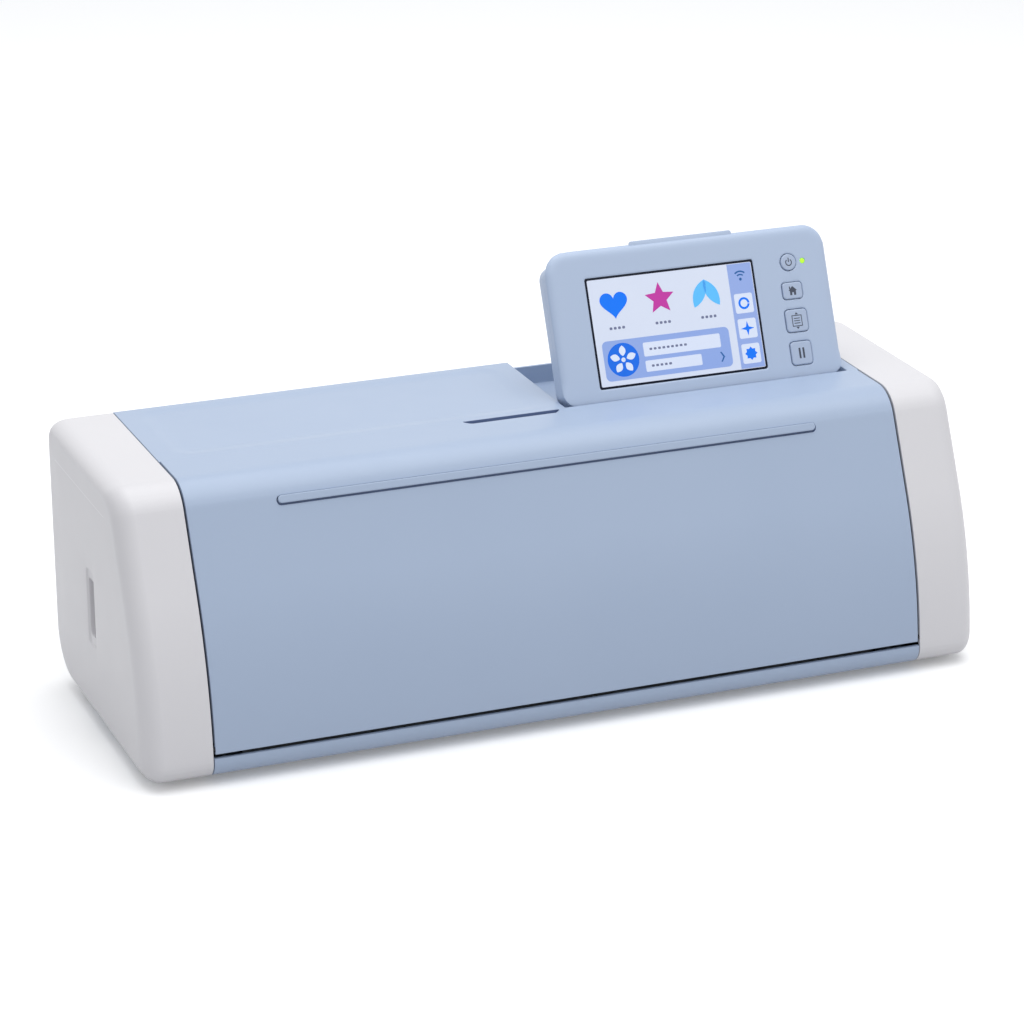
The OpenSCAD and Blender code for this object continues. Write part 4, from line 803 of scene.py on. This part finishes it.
def panel_tube(x0, x1, r):
    """Hinge knuckle about the panel's turning line."""
    a = np.linspace(0, 2 * math.pi, 28, endpoint=False)
    rings = [to_panel(np.full(28, x), r * np.sin(a), r * np.cos(a)) for x in (x0, x1)]
    return loft(rings)


bezel_parts = [bezel_face(), panel_block(82, 146, 84, 90.8, FACE + 1.5, FACE + 2.95, r=0.4, corner=1.5)]
for a, b in ((51.2, 63.2), (168.7, 180.7)):
    bezel_parts += [panel_tube(a, b, 2.0), panel_block(a, b, 0, 4, -1.8, 1.8, r=0.2)]
bezel = build("panel bezel", bezel_parts, sharp=30)
link_material(bezel, PANEL_BLUE)
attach(bezel, "panel_body")
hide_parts("panel_bezel")


def panel_back():
    """Back shell: rings from the joint line round a soft 2 mm edge to the flat back, closed in front."""
    rings = []
    for draw, d in ((3.0, 3.45), (0.15, 3.4), (0.0, 3.6), (0.0, 9.3), (0.1, 9.75), (0.4, 10.1), (0.9, 10.28),
                    (1.4, 10.3), (12.0, 10.3)):
        p = panel_outline(draw, top=82.3, r_top=8.0)
        rings.append(to_panel(p[:, 0], p[:, 1], np.full(len(p), d)))
    return loft(rings, flip=True)


back = build("panel back", [panel_back()], sharp=35)
link_material(back, PANEL_BLUE)
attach(back, "panel_body")
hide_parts("panel_back")

# ---------------------------------------------------------------------------------------------
# Keys. Four moulded keys that stand 0.6 mm proud of the bezel, each with a dark printed symbol:
# power, home, mat feed and pause. They press in against domes on the panel board.
# ---------------------------------------------------------------------------------------------

KEY_BLUE = moulded("key blue", (0.42, 0.50, 0.655), (0.40, 0.48, 0.63), rough=0.34, bump=0.02)
INK = moulded("printed ink", (0.035, 0.045, 0.075), (0.05, 0.06, 0.09), rough=0.5, bump=0.0)

key_objects = {}
for label, (cx, cs, w, h, r) in KEYS.items():
    rings = []
    for draw, d in ((0.9, FACE - 0.58), (0.5, FACE - 0.56), (0.22, FACE - 0.42), (0.05, FACE - 0.18),
                    (0.0, FACE + 0.1), (0.0, FACE + 2.2)):
        p = rounded(cx, cs, w - 2 * draw, h - 2 * draw, r - draw * 0.8, n=12)
        rings.append(to_panel(p[:, 0], p[:, 1], np.full(len(p), d)))
    stem = [to_panel(cx + 1.5 * np.cos(q), cs + 1.5 * np.sin(q), np.full(24, d))
            for q in [np.linspace(0, 2 * math.pi, 24, endpoint=False)] for d in (FACE + 2.2, 0.5)]
    key = build(label + " key", [loft(rings, flip=True), loft(stem, flip=True)], sharp=40)
    link_material(key, KEY_BLUE)
    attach(key, label + "_key")
    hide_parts(label + "_button")
    key_objects[label] = key


def flat_shape(points, depth, thick=0.05):
    """Thin raised shape on the panel: a closed outline in (across, up) mm, at this depth."""
    p = np.asarray(points, float)
    x, y = p[:, 0], p[:, 1]
    if np.sum(x * np.roll(y, -1) - np.roll(x, -1) * y) < 0:
        p = p[::-1]
    n = len(p)
    front = to_panel(p[:, 0], p[:, 1], np.full(n, depth))
    rear = to_panel(p[:, 0], p[:, 1], np.full(n, depth + thick))
    i = np.arange(n)
    j = (i + 1) % n
    faces = [list(range(n)), list(range(2 * n - 1, n - 1, -1))]
    faces += np.column_stack([i, i + n, j + n, j]).tolist()
    return np.vstack([front, rear]), faces


def band(cx, cs, r0, r1, a0, a1, n=28):
    """Closed outline of a ring segment."""
    a = np.radians(np.linspace(a0, a1, n))
    outer = np.column_stack([cx + r1 * np.cos(a), cs + r1 * np.sin(a)])
    inner = np.column_stack([cx + r0 * np.cos(a), cs + r0 * np.sin(a)])
    return np.vstack([outer, inner[::-1]])


def bar(x0, x1, s0, s1):
    """Closed outline of a rectangle."""
    return np.array([[x0, s0], [x1, s0], [x1, s1], [x0, s1]])


def frame_shapes(cx, cs, w, h, t):
    """Four bars of a rectangular frame."""
    return [bar(cx - w / 2, cx + w / 2, cs + h / 2 - t, cs + h / 2),
            bar(cx - w / 2, cx + w / 2, cs - h / 2, cs - h / 2 + t),
            bar(cx - w / 2, cx - w / 2 + t, cs - h / 2 + t, cs + h / 2 - t),
            bar(cx + w / 2 - t, cx + w / 2, cs - h / 2 + t, cs + h / 2 - t)]


SYMBOLS = {
    "power": [band(KEY_X, 68.0, 1.5, 2.1, 125, 415, 40), bar(KEY_X - 0.32, KEY_X + 0.32, 68.2, 70.7)],
    "home": [np.array([[KEY_X - 2.7, 51.5], [KEY_X, 54.2], [KEY_X + 2.7, 51.5]]),
             bar(KEY_X - 1.9, KEY_X - 0.55, 48.9, 51.5), bar(KEY_X + 0.55, KEY_X + 1.9, 48.9, 51.5),
             bar(KEY_X - 0.55, KEY_X + 0.55, 50.5, 51.5), bar(KEY_X - 2.1, KEY_X - 1.4, 52.4, 54.0)],
    "feed": frame_shapes(KEY_X, 33.9, 6.4, 6.6, 0.5)
    + [bar(KEY_X - 1.9, KEY_X + 1.9, 33.9 + k * 1.4 - 0.25, 33.9 + k * 1.4 + 0.25) for k in (-1, 0, 1)]
    + [np.array([[KEY_X - 1.1, 37.5], [KEY_X + 1.1, 37.5], [KEY_X, 38.8]]),
       np.array([[KEY_X - 1.1, 30.3], [KEY_X, 29.0], [KEY_X + 1.1, 30.3]])],
    "pause": [bar(KEY_X - 1.8, KEY_X - 0.6, 12.0, 18.1), bar(KEY_X + 0.6, KEY_X + 1.8, 12.0, 18.1)],
}
for label, shapes in SYMBOLS.items():
    mark = build(label + " symbol", [flat_shape(q, FACE - 0.605) for q in shapes])
    link_material(mark, INK)
    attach(mark, label + "_key")

# ---------------------------------------------------------------------------------------------
# Status lamp. A short lime green light pipe beside the power key, lit from the panel board.
# ---------------------------------------------------------------------------------------------


def lamp_material():
    """Glowing lime plastic, its light colour varied by a fine noise."""
    mat = moulded("lime lamp", (0.42, 0.85, 0.03), (0.36, 0.78, 0.02), rough=0.25, bump=0.0)
    n, l = mat.node_tree.nodes, mat.node_tree.links
    noise = n.new("ShaderNodeTexNoise")
    noise.inputs["Scale"].default_value = 300.0
    co = n.new("ShaderNodeTexCoord")
    ramp = n.new("ShaderNodeValToRGB")
    ramp.color_ramp.elements[0].color = (0.30, 0.72, 0.01, 1)
    ramp.color_ramp.elements[1].color = (0.50, 0.95, 0.05, 1)
    l.new(co.outputs["Object"], noise.inputs["Vector"])
    l.new(noise.outputs["Fac"], ramp.inputs["Fac"])
    l.new(ramp.outputs["Color"], n["Principled BSDF"].inputs["Emission Color"])
    n["Principled BSDF"].inputs["Emission Strength"].default_value = 0.6
    return mat


rings = []
for r, d in ((0.5, FACE + 0.02), (1.0, FACE + 0.06), (1.3, FACE + 0.18), (1.45, FACE + 0.5), (1.45, 2.0)):
    a = np.linspace(0, 2 * math.pi, 32, endpoint=False)
    rings.append(to_panel(LAMP[0] + r * np.cos(a), LAMP[1] + r * np.sin(a), np.full(32, d)))
lamp = build("status lamp", [loft(rings, flip=True)], sharp=50)
link_material(lamp, lamp_material())
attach(lamp, "panel_body")
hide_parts("status_lamp")

# ---------------------------------------------------------------------------------------------
# Touch screen. A glass plate with a black printed edge over a five inch display. The picture is
# a plain menu: a heart, a star and a pair of leaves in a row, a wide strip with a bloom on a disc
# below them, and a column of three tools down the right side.
# ---------------------------------------------------------------------------------------------


def lit(name, colour, drift, strength=0.16, rough=0.35):
    """Display colour behind glass: mostly its own light, with a slow drift of the tint in it."""
    mat = bpy.data.materials.new(name)
    mat.use_nodes = True
    n, l = mat.node_tree.nodes, mat.node_tree.links
    bsdf = n["Principled BSDF"]
    g = n.new("ShaderNodeGroup")
    g.node_tree = GRAIN
    g.inputs["Colour"].default_value = (*colour, 1)
    g.inputs["Drift colour"].default_value = (*drift, 1)
    g.inputs["Drift scale"].default_value = 22.0
    g.inputs["Roughness"].default_value = rough
    g.inputs["Roughness spread"].default_value = 0.02
    l.new(g.outputs["Colour"], bsdf.inputs["Base Color"])
    l.new(g.outputs["Colour"], bsdf.inputs["Emission Color"])
    l.new(g.outputs["Roughness"], bsdf.inputs["Roughness"])
    bsdf.inputs["Emission Strength"].default_value = strength
    bsdf.inputs["Specular IOR Level"].default_value = 0.2
    return mat


SURROUND = moulded("black surround", (0.004, 0.006, 0.016), (0.007, 0.009, 0.022), rough=0.5, bump=0.0)
SURROUND.node_tree.nodes["Principled BSDF"].inputs["Specular IOR Level"].default_value = 0.15
rings = []
for draw, d in ((1.0, FACE + 0.32), (0.25, FACE + 0.32), (0.0, FACE + 0.5), (0.0, FACE + 1.95)):
    p = rounded(*SCREEN_MID, 104.8 - 2 * draw, 63.6 - 2 * draw, 1.5 - draw * 0.5, n=8)
    rings.append(to_panel(p[:, 0], p[:, 1], np.full(len(p), d)))
glass = build("screen glass", [loft(rings, flip=True)], sharp=40)
link_material(glass, SURROUND)
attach(glass, "panel_body")
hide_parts("touch_glass")

LEFT, RIGHT = SCREEN_MID[0] - SCREEN_W / 2 + 0.2, SCREEN_MID[0] + SCREEN_W / 2 - 0.2
LOW, HIGH = SCREEN_MID[1] - SCREEN_H / 2 + 0.2, SCREEN_MID[1] + SCREEN_H / 2 - 0.2


def star(cx, cs, r1, r0, points, turn=90.0):
    """Star outline with its points at r1 and its notches at r0."""
    a = np.radians(turn + np.arange(2 * points) * 180.0 / points)
    r = np.where(np.arange(2 * points) % 2 == 0, r1, r0)
    return np.column_stack([cx + r * np.cos(a), cs + r * np.sin(a)])


def heart(cx, cs, size, n=60):
    """Heart curve x = 16 sin^3 t, y = 13 cos t - 5 cos 2t - 2 cos 3t - cos 4t, scaled to size."""
    t = np.linspace(0, 2 * math.pi, n, endpoint=False)
    x = 16 * np.sin(t) ** 3
    y = 13 * np.cos(t) - 5 * np.cos(2 * t) - 2 * np.cos(3 * t) - np.cos(4 * t)
    return np.column_stack([cx + x * size / 32, cs + y * size / 32])


def petal(cx, cs, r0, r1, half, angle, n=14):
    """Leaf between radii r0 and r1 about a centre: width half * sin(pi t) along its length."""
    t = np.linspace(0, 1, n)
    along = r0 + (r1 - r0) * t
    wide = half * np.sin(math.pi * t) ** 0.8
    p = np.vstack([np.column_stack([along, wide]), np.column_stack([along, -wide])[::-1][1:-1]])
    c, s = math.cos(math.radians(angle)), math.sin(math.radians(angle))
    return np.column_stack([cx + p[:, 0] * c - p[:, 1] * s, cs + p[:, 0] * s + p[:, 1] * c])


def chevron(cx, cs, sgn, h=2.6, t=0.55):
    """Arrow head outline pointing left or right."""
    return np.array([[cx - sgn * h * 0.45, cs + h], [cx - sgn * h * 0.45 + sgn * t, cs + h + 0.1],
                     [cx + sgn * h * 0.55, cs], [cx - sgn * h * 0.45 + sgn * t, cs - h - 0.1],
                     [cx - sgn * h * 0.45, cs - h], [cx + sgn * (h * 0.55 - t * 1.3), cs]])


TOOL_X, TOOL_LOW, TOOL_PITCH = RIGHT - 7.8, LOW + 8.6, 14.6
BLOOM_X, BLOOM_S = LEFT + 15.4, LOW + 14.2
ROW, CAPTIONS = LOW + 46.4, LOW + 32.6
WIDE_TILE, SHORT_TILE = LOW + 18.4, LOW + 8.8
SIGNAL = (TOOL_X, HIGH - 9.4)
PICTURE = [
    ("screen white", (0.66, 0.71, 0.82), (0.62, 0.67, 0.80), 0,
     [rounded((LEFT + RIGHT) / 2, (LOW + HIGH) / 2, RIGHT - LEFT, HIGH - LOW, 0.8, n=5)]),
    ("bar blue", (0.30, 0.40, 0.72), (0.27, 0.37, 0.69), 1,
     [bar(RIGHT - 15.3, RIGHT - 0.3, LOW + 0.3, HIGH - 0.3)]),
    ("icon slate", (0.28, 0.39, 0.72), (0.25, 0.36, 0.69), 2,
     [rounded(LEFT + 43.0, BLOOM_S, 79.0, 23.0, 3.0, n=6)]),
    ("tile white", (0.68, 0.735, 0.86), (0.64, 0.70, 0.84), 3,
     [rounded(TOOL_X, TOOL_LOW + k * TOOL_PITCH, 11.4, 11.4, 1.2, n=5) for k in range(3)]
     + [rounded(LEFT + 52.5, WIDE_TILE, 48.0, 8.0, 0.8, n=4),
        rounded(LEFT + 46.0, SHORT_TILE, 35.0, 6.4, 0.8, n=4)]),
    ("card blue", (0.010, 0.15, 0.74), (0.009, 0.135, 0.69), 3,
     [rounded(BLOOM_X, BLOOM_S, 19.4, 19.4, 9.7, n=12)]),
    ("icon blue", (0.006, 0.18, 0.88), (0.005, 0.165, 0.82), 4,
     [heart(LEFT + 14.5, ROW + 0.2, 17.0), star(TOOL_X, TOOL_LOW, 3.9, 2.9, 8),
      star(TOOL_X, TOOL_LOW + TOOL_PITCH, 4.3, 1.3, 4),
      band(TOOL_X, TOOL_LOW + 2 * TOOL_PITCH, 2.2, 3.5, 0, 352)]),
    ("line blue", (0.03, 0.13, 0.36), (0.025, 0.11, 0.32), 4,
     [chevron(LEFT + 76.5, SHORT_TILE, 1, 2.8, 0.9), band(*SIGNAL, 4.1, 5.0, 48, 132),
      band(*SIGNAL, 2.3, 3.1, 48, 132), band(*SIGNAL, 0.0, 0.85, 0, 350)]),
    ("icon magenta", (0.52, 0.045, 0.35), (0.48, 0.04, 0.31), 4,
     [star(LEFT + 43.0, ROW, 9.4, 4.3, 5)]),
    ("icon sky", (0.12, 0.50, 0.90), (0.10, 0.46, 0.86), 4,
     [petal(LEFT + 67.8, ROW, -8.8, 8.8, 3.6, 62), petal(LEFT + 75.4, ROW, -8.8, 8.8, 3.6, 118)]),
    ("bloom white", (0.70, 0.76, 0.88), (0.66, 0.72, 0.86), 4,
     [petal(BLOOM_X, BLOOM_S, 2.2, 8.2, 2.0, a) for a in range(90, 450, 72)]
     + [band(BLOOM_X, BLOOM_S, 0.0, 1.3, 0, 350)]),
    ("caption grey", (0.16, 0.18, 0.29), (0.14, 0.16, 0.26), 4,
     [rounded(LEFT + x + k * 2.6, CAPTIONS, 1.7, 1.5, 0.5, n=3)
      for x in (10.6, 39.1, 67.7) for k in range(4)]
     + [rounded(LEFT + 33.0 + k * 2.7, WIDE_TILE, 1.7, 1.3, 0.4, n=3) for k in range(9)]
     + [rounded(LEFT + 33.0 + k * 2.7, SHORT_TILE, 1.7, 1.3, 0.4, n=3) for k in range(5)]),
]
for name, colour, drift, layer, shapes in PICTURE:
    obj = build("picture " + name, [flat_shape(q, FACE + 0.31 - 0.012 * layer, 0.006) for q in shapes])
    link_material(obj, lit(name, colour, drift))
    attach(obj, "panel_body")

# ---------------------------------------------------------------------------------------------
# Metal inside the machine. Zinc-coated side frames and beam, ground shafts, turned brass bushes,
# plain steel screws and pins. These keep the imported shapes.
# ---------------------------------------------------------------------------------------------


def metal_group():
    """Metal: stretched scratches along X over a soft cloud, which move tint, roughness and height."""
    group, gin, gout = new_group("metal finish", [
        ("Colour", "NodeSocketColor", (0.6, 0.6, 0.6, 1)),
        ("Drift colour", "NodeSocketColor", (0.5, 0.5, 0.5, 1)),
        ("Scratch scale", "NodeSocketFloat", 900.0),
        ("Cloud scale", "NodeSocketFloat", 90.0),
        ("Roughness", "NodeSocketFloat", 0.3),
        ("Roughness spread", "NodeSocketFloat", 0.15),
    ], [("Colour", "NodeSocketColor"), ("Roughness", "NodeSocketFloat"), ("Height", "NodeSocketFloat")])
    n, l = group.nodes, group.links
    co = n.new("ShaderNodeTexCoord")
    stretch = n.new("ShaderNodeMapping")
    stretch.inputs["Scale"].default_value = (0.04, 1.0, 1.0)
    scratch = n.new("ShaderNodeTexNoise")
    scratch.inputs["Detail"].default_value = 3.0
    cloud = n.new("ShaderNodeTexVoronoi")
    cloud.feature = "SMOOTH_F1"
    mix = n.new("ShaderNodeMix")
    mix.data_type = "RGBA"
    rough = n.new("ShaderNodeMath")
    rough.operation = "MULTIPLY_ADD"
    l.new(co.outputs["Object"], stretch.inputs["Vector"])
    l.new(stretch.outputs["Vector"], scratch.inputs["Vector"])
    l.new(gin.outputs["Scratch scale"], scratch.inputs["Scale"])
    l.new(co.outputs["Object"], cloud.inputs["Vector"])
    l.new(gin.outputs["Cloud scale"], cloud.inputs["Scale"])
    l.new(cloud.outputs["Distance"], mix.inputs["Factor"])
    l.new(gin.outputs["Colour"], mix.inputs["A"])
    l.new(gin.outputs["Drift colour"], mix.inputs["B"])
    l.new(scratch.outputs["Fac"], rough.inputs[0])
    l.new(gin.outputs["Roughness spread"], rough.inputs[1])
    l.new(gin.outputs["Roughness"], rough.inputs[2])
    l.new(mix.outputs["Result"], gout.inputs["Colour"])
    l.new(rough.outputs[0], gout.inputs["Roughness"])
    l.new(scratch.outputs["Fac"], gout.inputs["Height"])
    return group


METAL = metal_group()


def metal(name, colour, drift, rough=0.3, spread=0.15, scratch=900.0, cloud=90.0, bump=0.08):
    """Bare metal from the metal group."""
    mat = bpy.data.materials.new(name)
    mat.use_nodes = True
    n, l = mat.node_tree.nodes, mat.node_tree.links
    bsdf = n["Principled BSDF"]
    bsdf.inputs["Metallic"].default_value = 1.0
    g = n.new("ShaderNodeGroup")
    g.node_tree = METAL
    g.inputs["Colour"].default_value = (*colour, 1)
    g.inputs["Drift colour"].default_value = (*drift, 1)
    g.inputs["Scratch scale"].default_value = scratch
    g.inputs["Cloud scale"].default_value = cloud
    g.inputs["Roughness"].default_value = rough
    g.inputs["Roughness spread"].default_value = spread
    b = n.new("ShaderNodeBump")
    b.inputs["Strength"].default_value = bump
    b.inputs["Distance"].default_value = 0.0002
    l.new(g.outputs["Colour"], bsdf.inputs["Base Color"])
    l.new(g.outputs["Roughness"], bsdf.inputs["Roughness"])
    l.new(g.outputs["Height"], b.inputs["Height"])
    l.new(b.outputs["Normal"], bsdf.inputs["Normal"])
    return mat


def dress(material, *names):
    """Gives carried-over nodes this material in every slot."""
    for name in names:
        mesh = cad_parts[name].data
        for k in range(max(1, len(mesh.materials))):
            if k < len(mesh.materials):
                mesh.materials[k] = material
            else:
                mesh.materials.append(material)


dress(metal("zinc sheet", (0.52, 0.54, 0.56), (0.42, 0.44, 0.46), rough=0.34, cloud=60.0),
      "left_side_frame", "right_side_frame", "main_beam", "idler_bracket")
dress(metal("ground steel", (0.62, 0.62, 0.63), (0.55, 0.55, 0.56), rough=0.16, spread=0.08, scratch=2400.0),
      "guide_rod", "tool_rods", "pinch_shaft", "usb_socket", "blade_tip")
dress(metal("blackened pins", (0.035, 0.036, 0.04), (0.05, 0.05, 0.055), rough=0.4), "cover_hinge_pins",
      "panel_hinge_pins")
dress(metal("plated screws", (0.55, 0.55, 0.56), (0.46, 0.46, 0.47), rough=0.3, scratch=1800.0),
      "base_screws", "rear_cover_screws", "panel_screws")
dress(metal("turned brass", (0.60, 0.42, 0.16), (0.50, 0.34, 0.12), rough=0.24, scratch=2600.0),
      "shaft_bushes", "carriage_bushes", "feed_pinion", "motor_pulley", "idler_pulley")

# ---------------------------------------------------------------------------------------------
# Plastic and rubber inside the machine: decks, carriage, tool block, scanner bar, liner, belt,
# rollers and gear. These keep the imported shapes.
# ---------------------------------------------------------------------------------------------

dress(BLUE, "rear_cover")
dress(moulded("grey deck", (0.30, 0.31, 0.33), (0.26, 0.27, 0.29), rough=0.5, bump=0.06),
      "front_deck", "rear_deck")
dress(moulded("white liner", (0.66, 0.665, 0.68), (0.60, 0.605, 0.62), rough=0.45, bump=0.05),
      "front_cover_liner", "carriage_cover")
dress(moulded("natural nylon", (0.74, 0.73, 0.68), (0.68, 0.67, 0.61), rough=0.5, bump=0.04),
      "cutting_strip", "feed_gear")
dress(moulded("dark housing", (0.03, 0.032, 0.036), (0.045, 0.047, 0.05), rough=0.46, bump=0.12),
      "scanner_bar", "belt_clamp", "tool_block", "power_inlet")
dress(moulded("carriage grey", (0.16, 0.17, 0.185), (0.13, 0.14, 0.15), rough=0.42, bump=0.08),
      "carriage_frame")
dress(moulded("holder grey", (0.42, 0.44, 0.47), (0.36, 0.38, 0.41), rough=0.36, bump=0.05), "blade_holder")
dress(moulded("lever blue", (0.05, 0.17, 0.42), (0.04, 0.145, 0.37), rough=0.34, bump=0.04), "lock_lever")
dress(moulded("motor black", (0.022, 0.022, 0.024), (0.04, 0.04, 0.042), rough=0.38, bump=0.1),
      "feed_motor", "carriage_motor")
dress(moulded("roller rubber", (0.03, 0.03, 0.032), (0.05, 0.05, 0.052), rough=0.75, bump=0.5, grain=900.0),
      "feed_roller", "pinch_rollers", "drive_belt")

# ---------------------------------------------------------------------------------------------
# Circuit boards, display body and scanner glass. Green boards with copper tracks under lacquer.
# ---------------------------------------------------------------------------------------------


def board_material():
    """Lacquered board: a brick pattern of tracks a little lighter than the green ground."""
    mat = moulded("circuit board", (0.012, 0.10, 0.045), (0.02, 0.13, 0.06), rough=0.3, bump=0.0)
    n, l = mat.node_tree.nodes, mat.node_tree.links
    co = n.new("ShaderNodeTexCoord")
    tracks = n.new("ShaderNodeTexBrick")
    tracks.inputs["Scale"].default_value = 120.0
    tracks.inputs["Mortar Size"].default_value = 0.06
    tracks.inputs["Color1"].default_value = (0.012, 0.10, 0.045, 1)
    tracks.inputs["Color2"].default_value = (0.016, 0.12, 0.055, 1)
    tracks.inputs["Mortar"].default_value = (0.04, 0.22, 0.09, 1)
    l.new(co.outputs["Object"], tracks.inputs["Vector"])
    l.new(tracks.outputs["Color"], n["Principled BSDF"].inputs["Base Color"])
    return mat


dress(board_material(), "main_board", "power_board", "panel_board")
dress(moulded("display body", (0.20, 0.205, 0.22), (0.16, 0.165, 0.18), rough=0.35, bump=0.02), "lcd_module")
dress(moulded("scanner glass", (0.05, 0.07, 0.07), (0.06, 0.085, 0.085), rough=0.06, bump=0.0, coat=0.5),
      "scanner_glass")

# ---------------------------------------------------------------------------------------------
# Studio. A pale floor, a white surround, a broad soft light from above and two weaker ones from the
# front, a little to the right. The camera stands to the front left of the machine, a little above it.
# ---------------------------------------------------------------------------------------------


def seen_rays(n, l):
    """1 for camera, glossy and transmission rays, so that metal and glass show the same white."""
    path = n.new("ShaderNodeLightPath")
    out = path.outputs["Is Camera Ray"]
    for kind in ("Is Glossy Ray", "Is Transmission Ray"):
        most = n.new("ShaderNodeMath")
        most.operation = "MAXIMUM"
        l.new(out, most.inputs[0])
        l.new(path.outputs[kind], most.inputs[1])
        out = most.outputs[0]
    return out


def studio():
    """Floor, world and lamps."""
    scene = bpy.context.scene
    scene.view_settings.view_transform = "Standard"
    mesh = bpy.data.meshes.new("floor")
    mesh.from_pydata([(-6, -6, 0), (6, -6, 0), (6, 6, 0), (-6, 6, 0)], [], [(0, 1, 2, 3)])
    floor = bpy.data.objects.new("floor", mesh)
    scene.collection.objects.link(floor)
    mat = bpy.data.materials.new("floor paper")
    mat.use_nodes = True
    n, l = mat.node_tree.nodes, mat.node_tree.links
    bsdf = n["Principled BSDF"]
    bsdf.inputs["Roughness"].default_value = 0.9
    bsdf.inputs["Specular IOR Level"].default_value = 0.1
    seen = seen_rays(n, l)
    paper = n.new("ShaderNodeMix")
    paper.data_type = "RGBA"
    paper.inputs["A"].default_value = (0.62, 0.62, 0.63, 1)
    paper.inputs["B"].default_value = (0.98, 0.98, 0.98, 1)
    l.new(seen, paper.inputs["Factor"])
    l.new(paper.outputs["Result"], bsdf.inputs["Base Color"])
    lift = n.new("ShaderNodeMath")
    lift.operation = "MULTIPLY"
    lift.inputs[1].default_value = 0.17
    l.new(seen, lift.inputs[0])
    bsdf.inputs["Emission Color"].default_value = (1, 1, 1, 1)
    l.new(lift.outputs[0], bsdf.inputs["Emission Strength"])
    mesh.materials.append(mat)
    world = bpy.data.worlds.new("studio white")
    scene.world = world
    world.use_nodes = True
    n, l = world.node_tree.nodes, world.node_tree.links
    n.clear()
    out = n.new("ShaderNodeOutputWorld")
    glow = n.new("ShaderNodeBackground")
    glow.inputs["Color"].default_value = (0.95, 0.97, 1.0, 1)
    glow.inputs["Strength"].default_value = 0.62
    seen = n.new("ShaderNodeBackground")
    seen.inputs["Color"].default_value = (1, 1, 1, 1)
    seen.inputs["Strength"].default_value = 1.0
    mix = n.new("ShaderNodeMixShader")
    l.new(seen_rays(n, l), mix.inputs["Fac"])
    l.new(glow.outputs["Background"], mix.inputs[1])
    l.new(seen.outputs["Background"], mix.inputs[2])
    l.new(mix.outputs["Shader"], out.inputs["Surface"])
    for name, energy, size, place, aim in LAMPS:
        lamp_data = bpy.data.lights.new(name, "AREA")
        lamp_data.energy = energy
        lamp_data.shape = "RECTANGLE"
        lamp_data.size, lamp_data.size_y = size
        lamp_obj = bpy.data.objects.new(name, lamp_data)
        scene.collection.objects.link(lamp_obj)
        lamp_obj.location = place
        lamp_obj.rotation_euler = (Vector(aim) - Vector(place)).to_track_quat("-Z", "Y").to_euler()


LAMPS = [
    ("top softbox", 24.5, (2.2, 1.6), (0.1, 0.05, 1.95), (0.0, 0.0, 0.1)),
    ("high front", 3.0, (1.4, 0.9), (0.3, -1.3, 1.8), (0.0, 0.0, 0.12)),
    ("front fill", 2.0, (1.6, 1.2), (0.4, -1.9, 0.9), (0.0, 0.0, 0.08)),
]
studio()

VIEW_FROM = Vector((-0.72127, -1.81924, 0.82196))
AZIMUTH, ELEVATION, ROLL = math.radians(21.5), math.radians(20.32), math.radians(-0.27)
ahead = Vector((math.sin(AZIMUTH) * math.cos(ELEVATION), math.cos(AZIMUTH) * math.cos(ELEVATION),
                -math.sin(ELEVATION)))
side = ahead.cross(Vector((0, 0, 1))).normalized()
above = side.cross(ahead)
right_hand = side * math.cos(ROLL) + above * math.sin(ROLL)
overhead = -side * math.sin(ROLL) + above * math.cos(ROLL)
camera_data = bpy.data.cameras.new("camera")
camera_data.lens = 129.31
camera_data.sensor_width = 36.0
camera = bpy.data.objects.new("camera", camera_data)
bpy.context.scene.collection.objects.link(camera)
turn = Matrix((right_hand, overhead, -ahead)).transposed().to_4x4()
camera.matrix_world = Matrix.Translation(VIEW_FROM) @ turn
bpy.context.scene.camera = camera
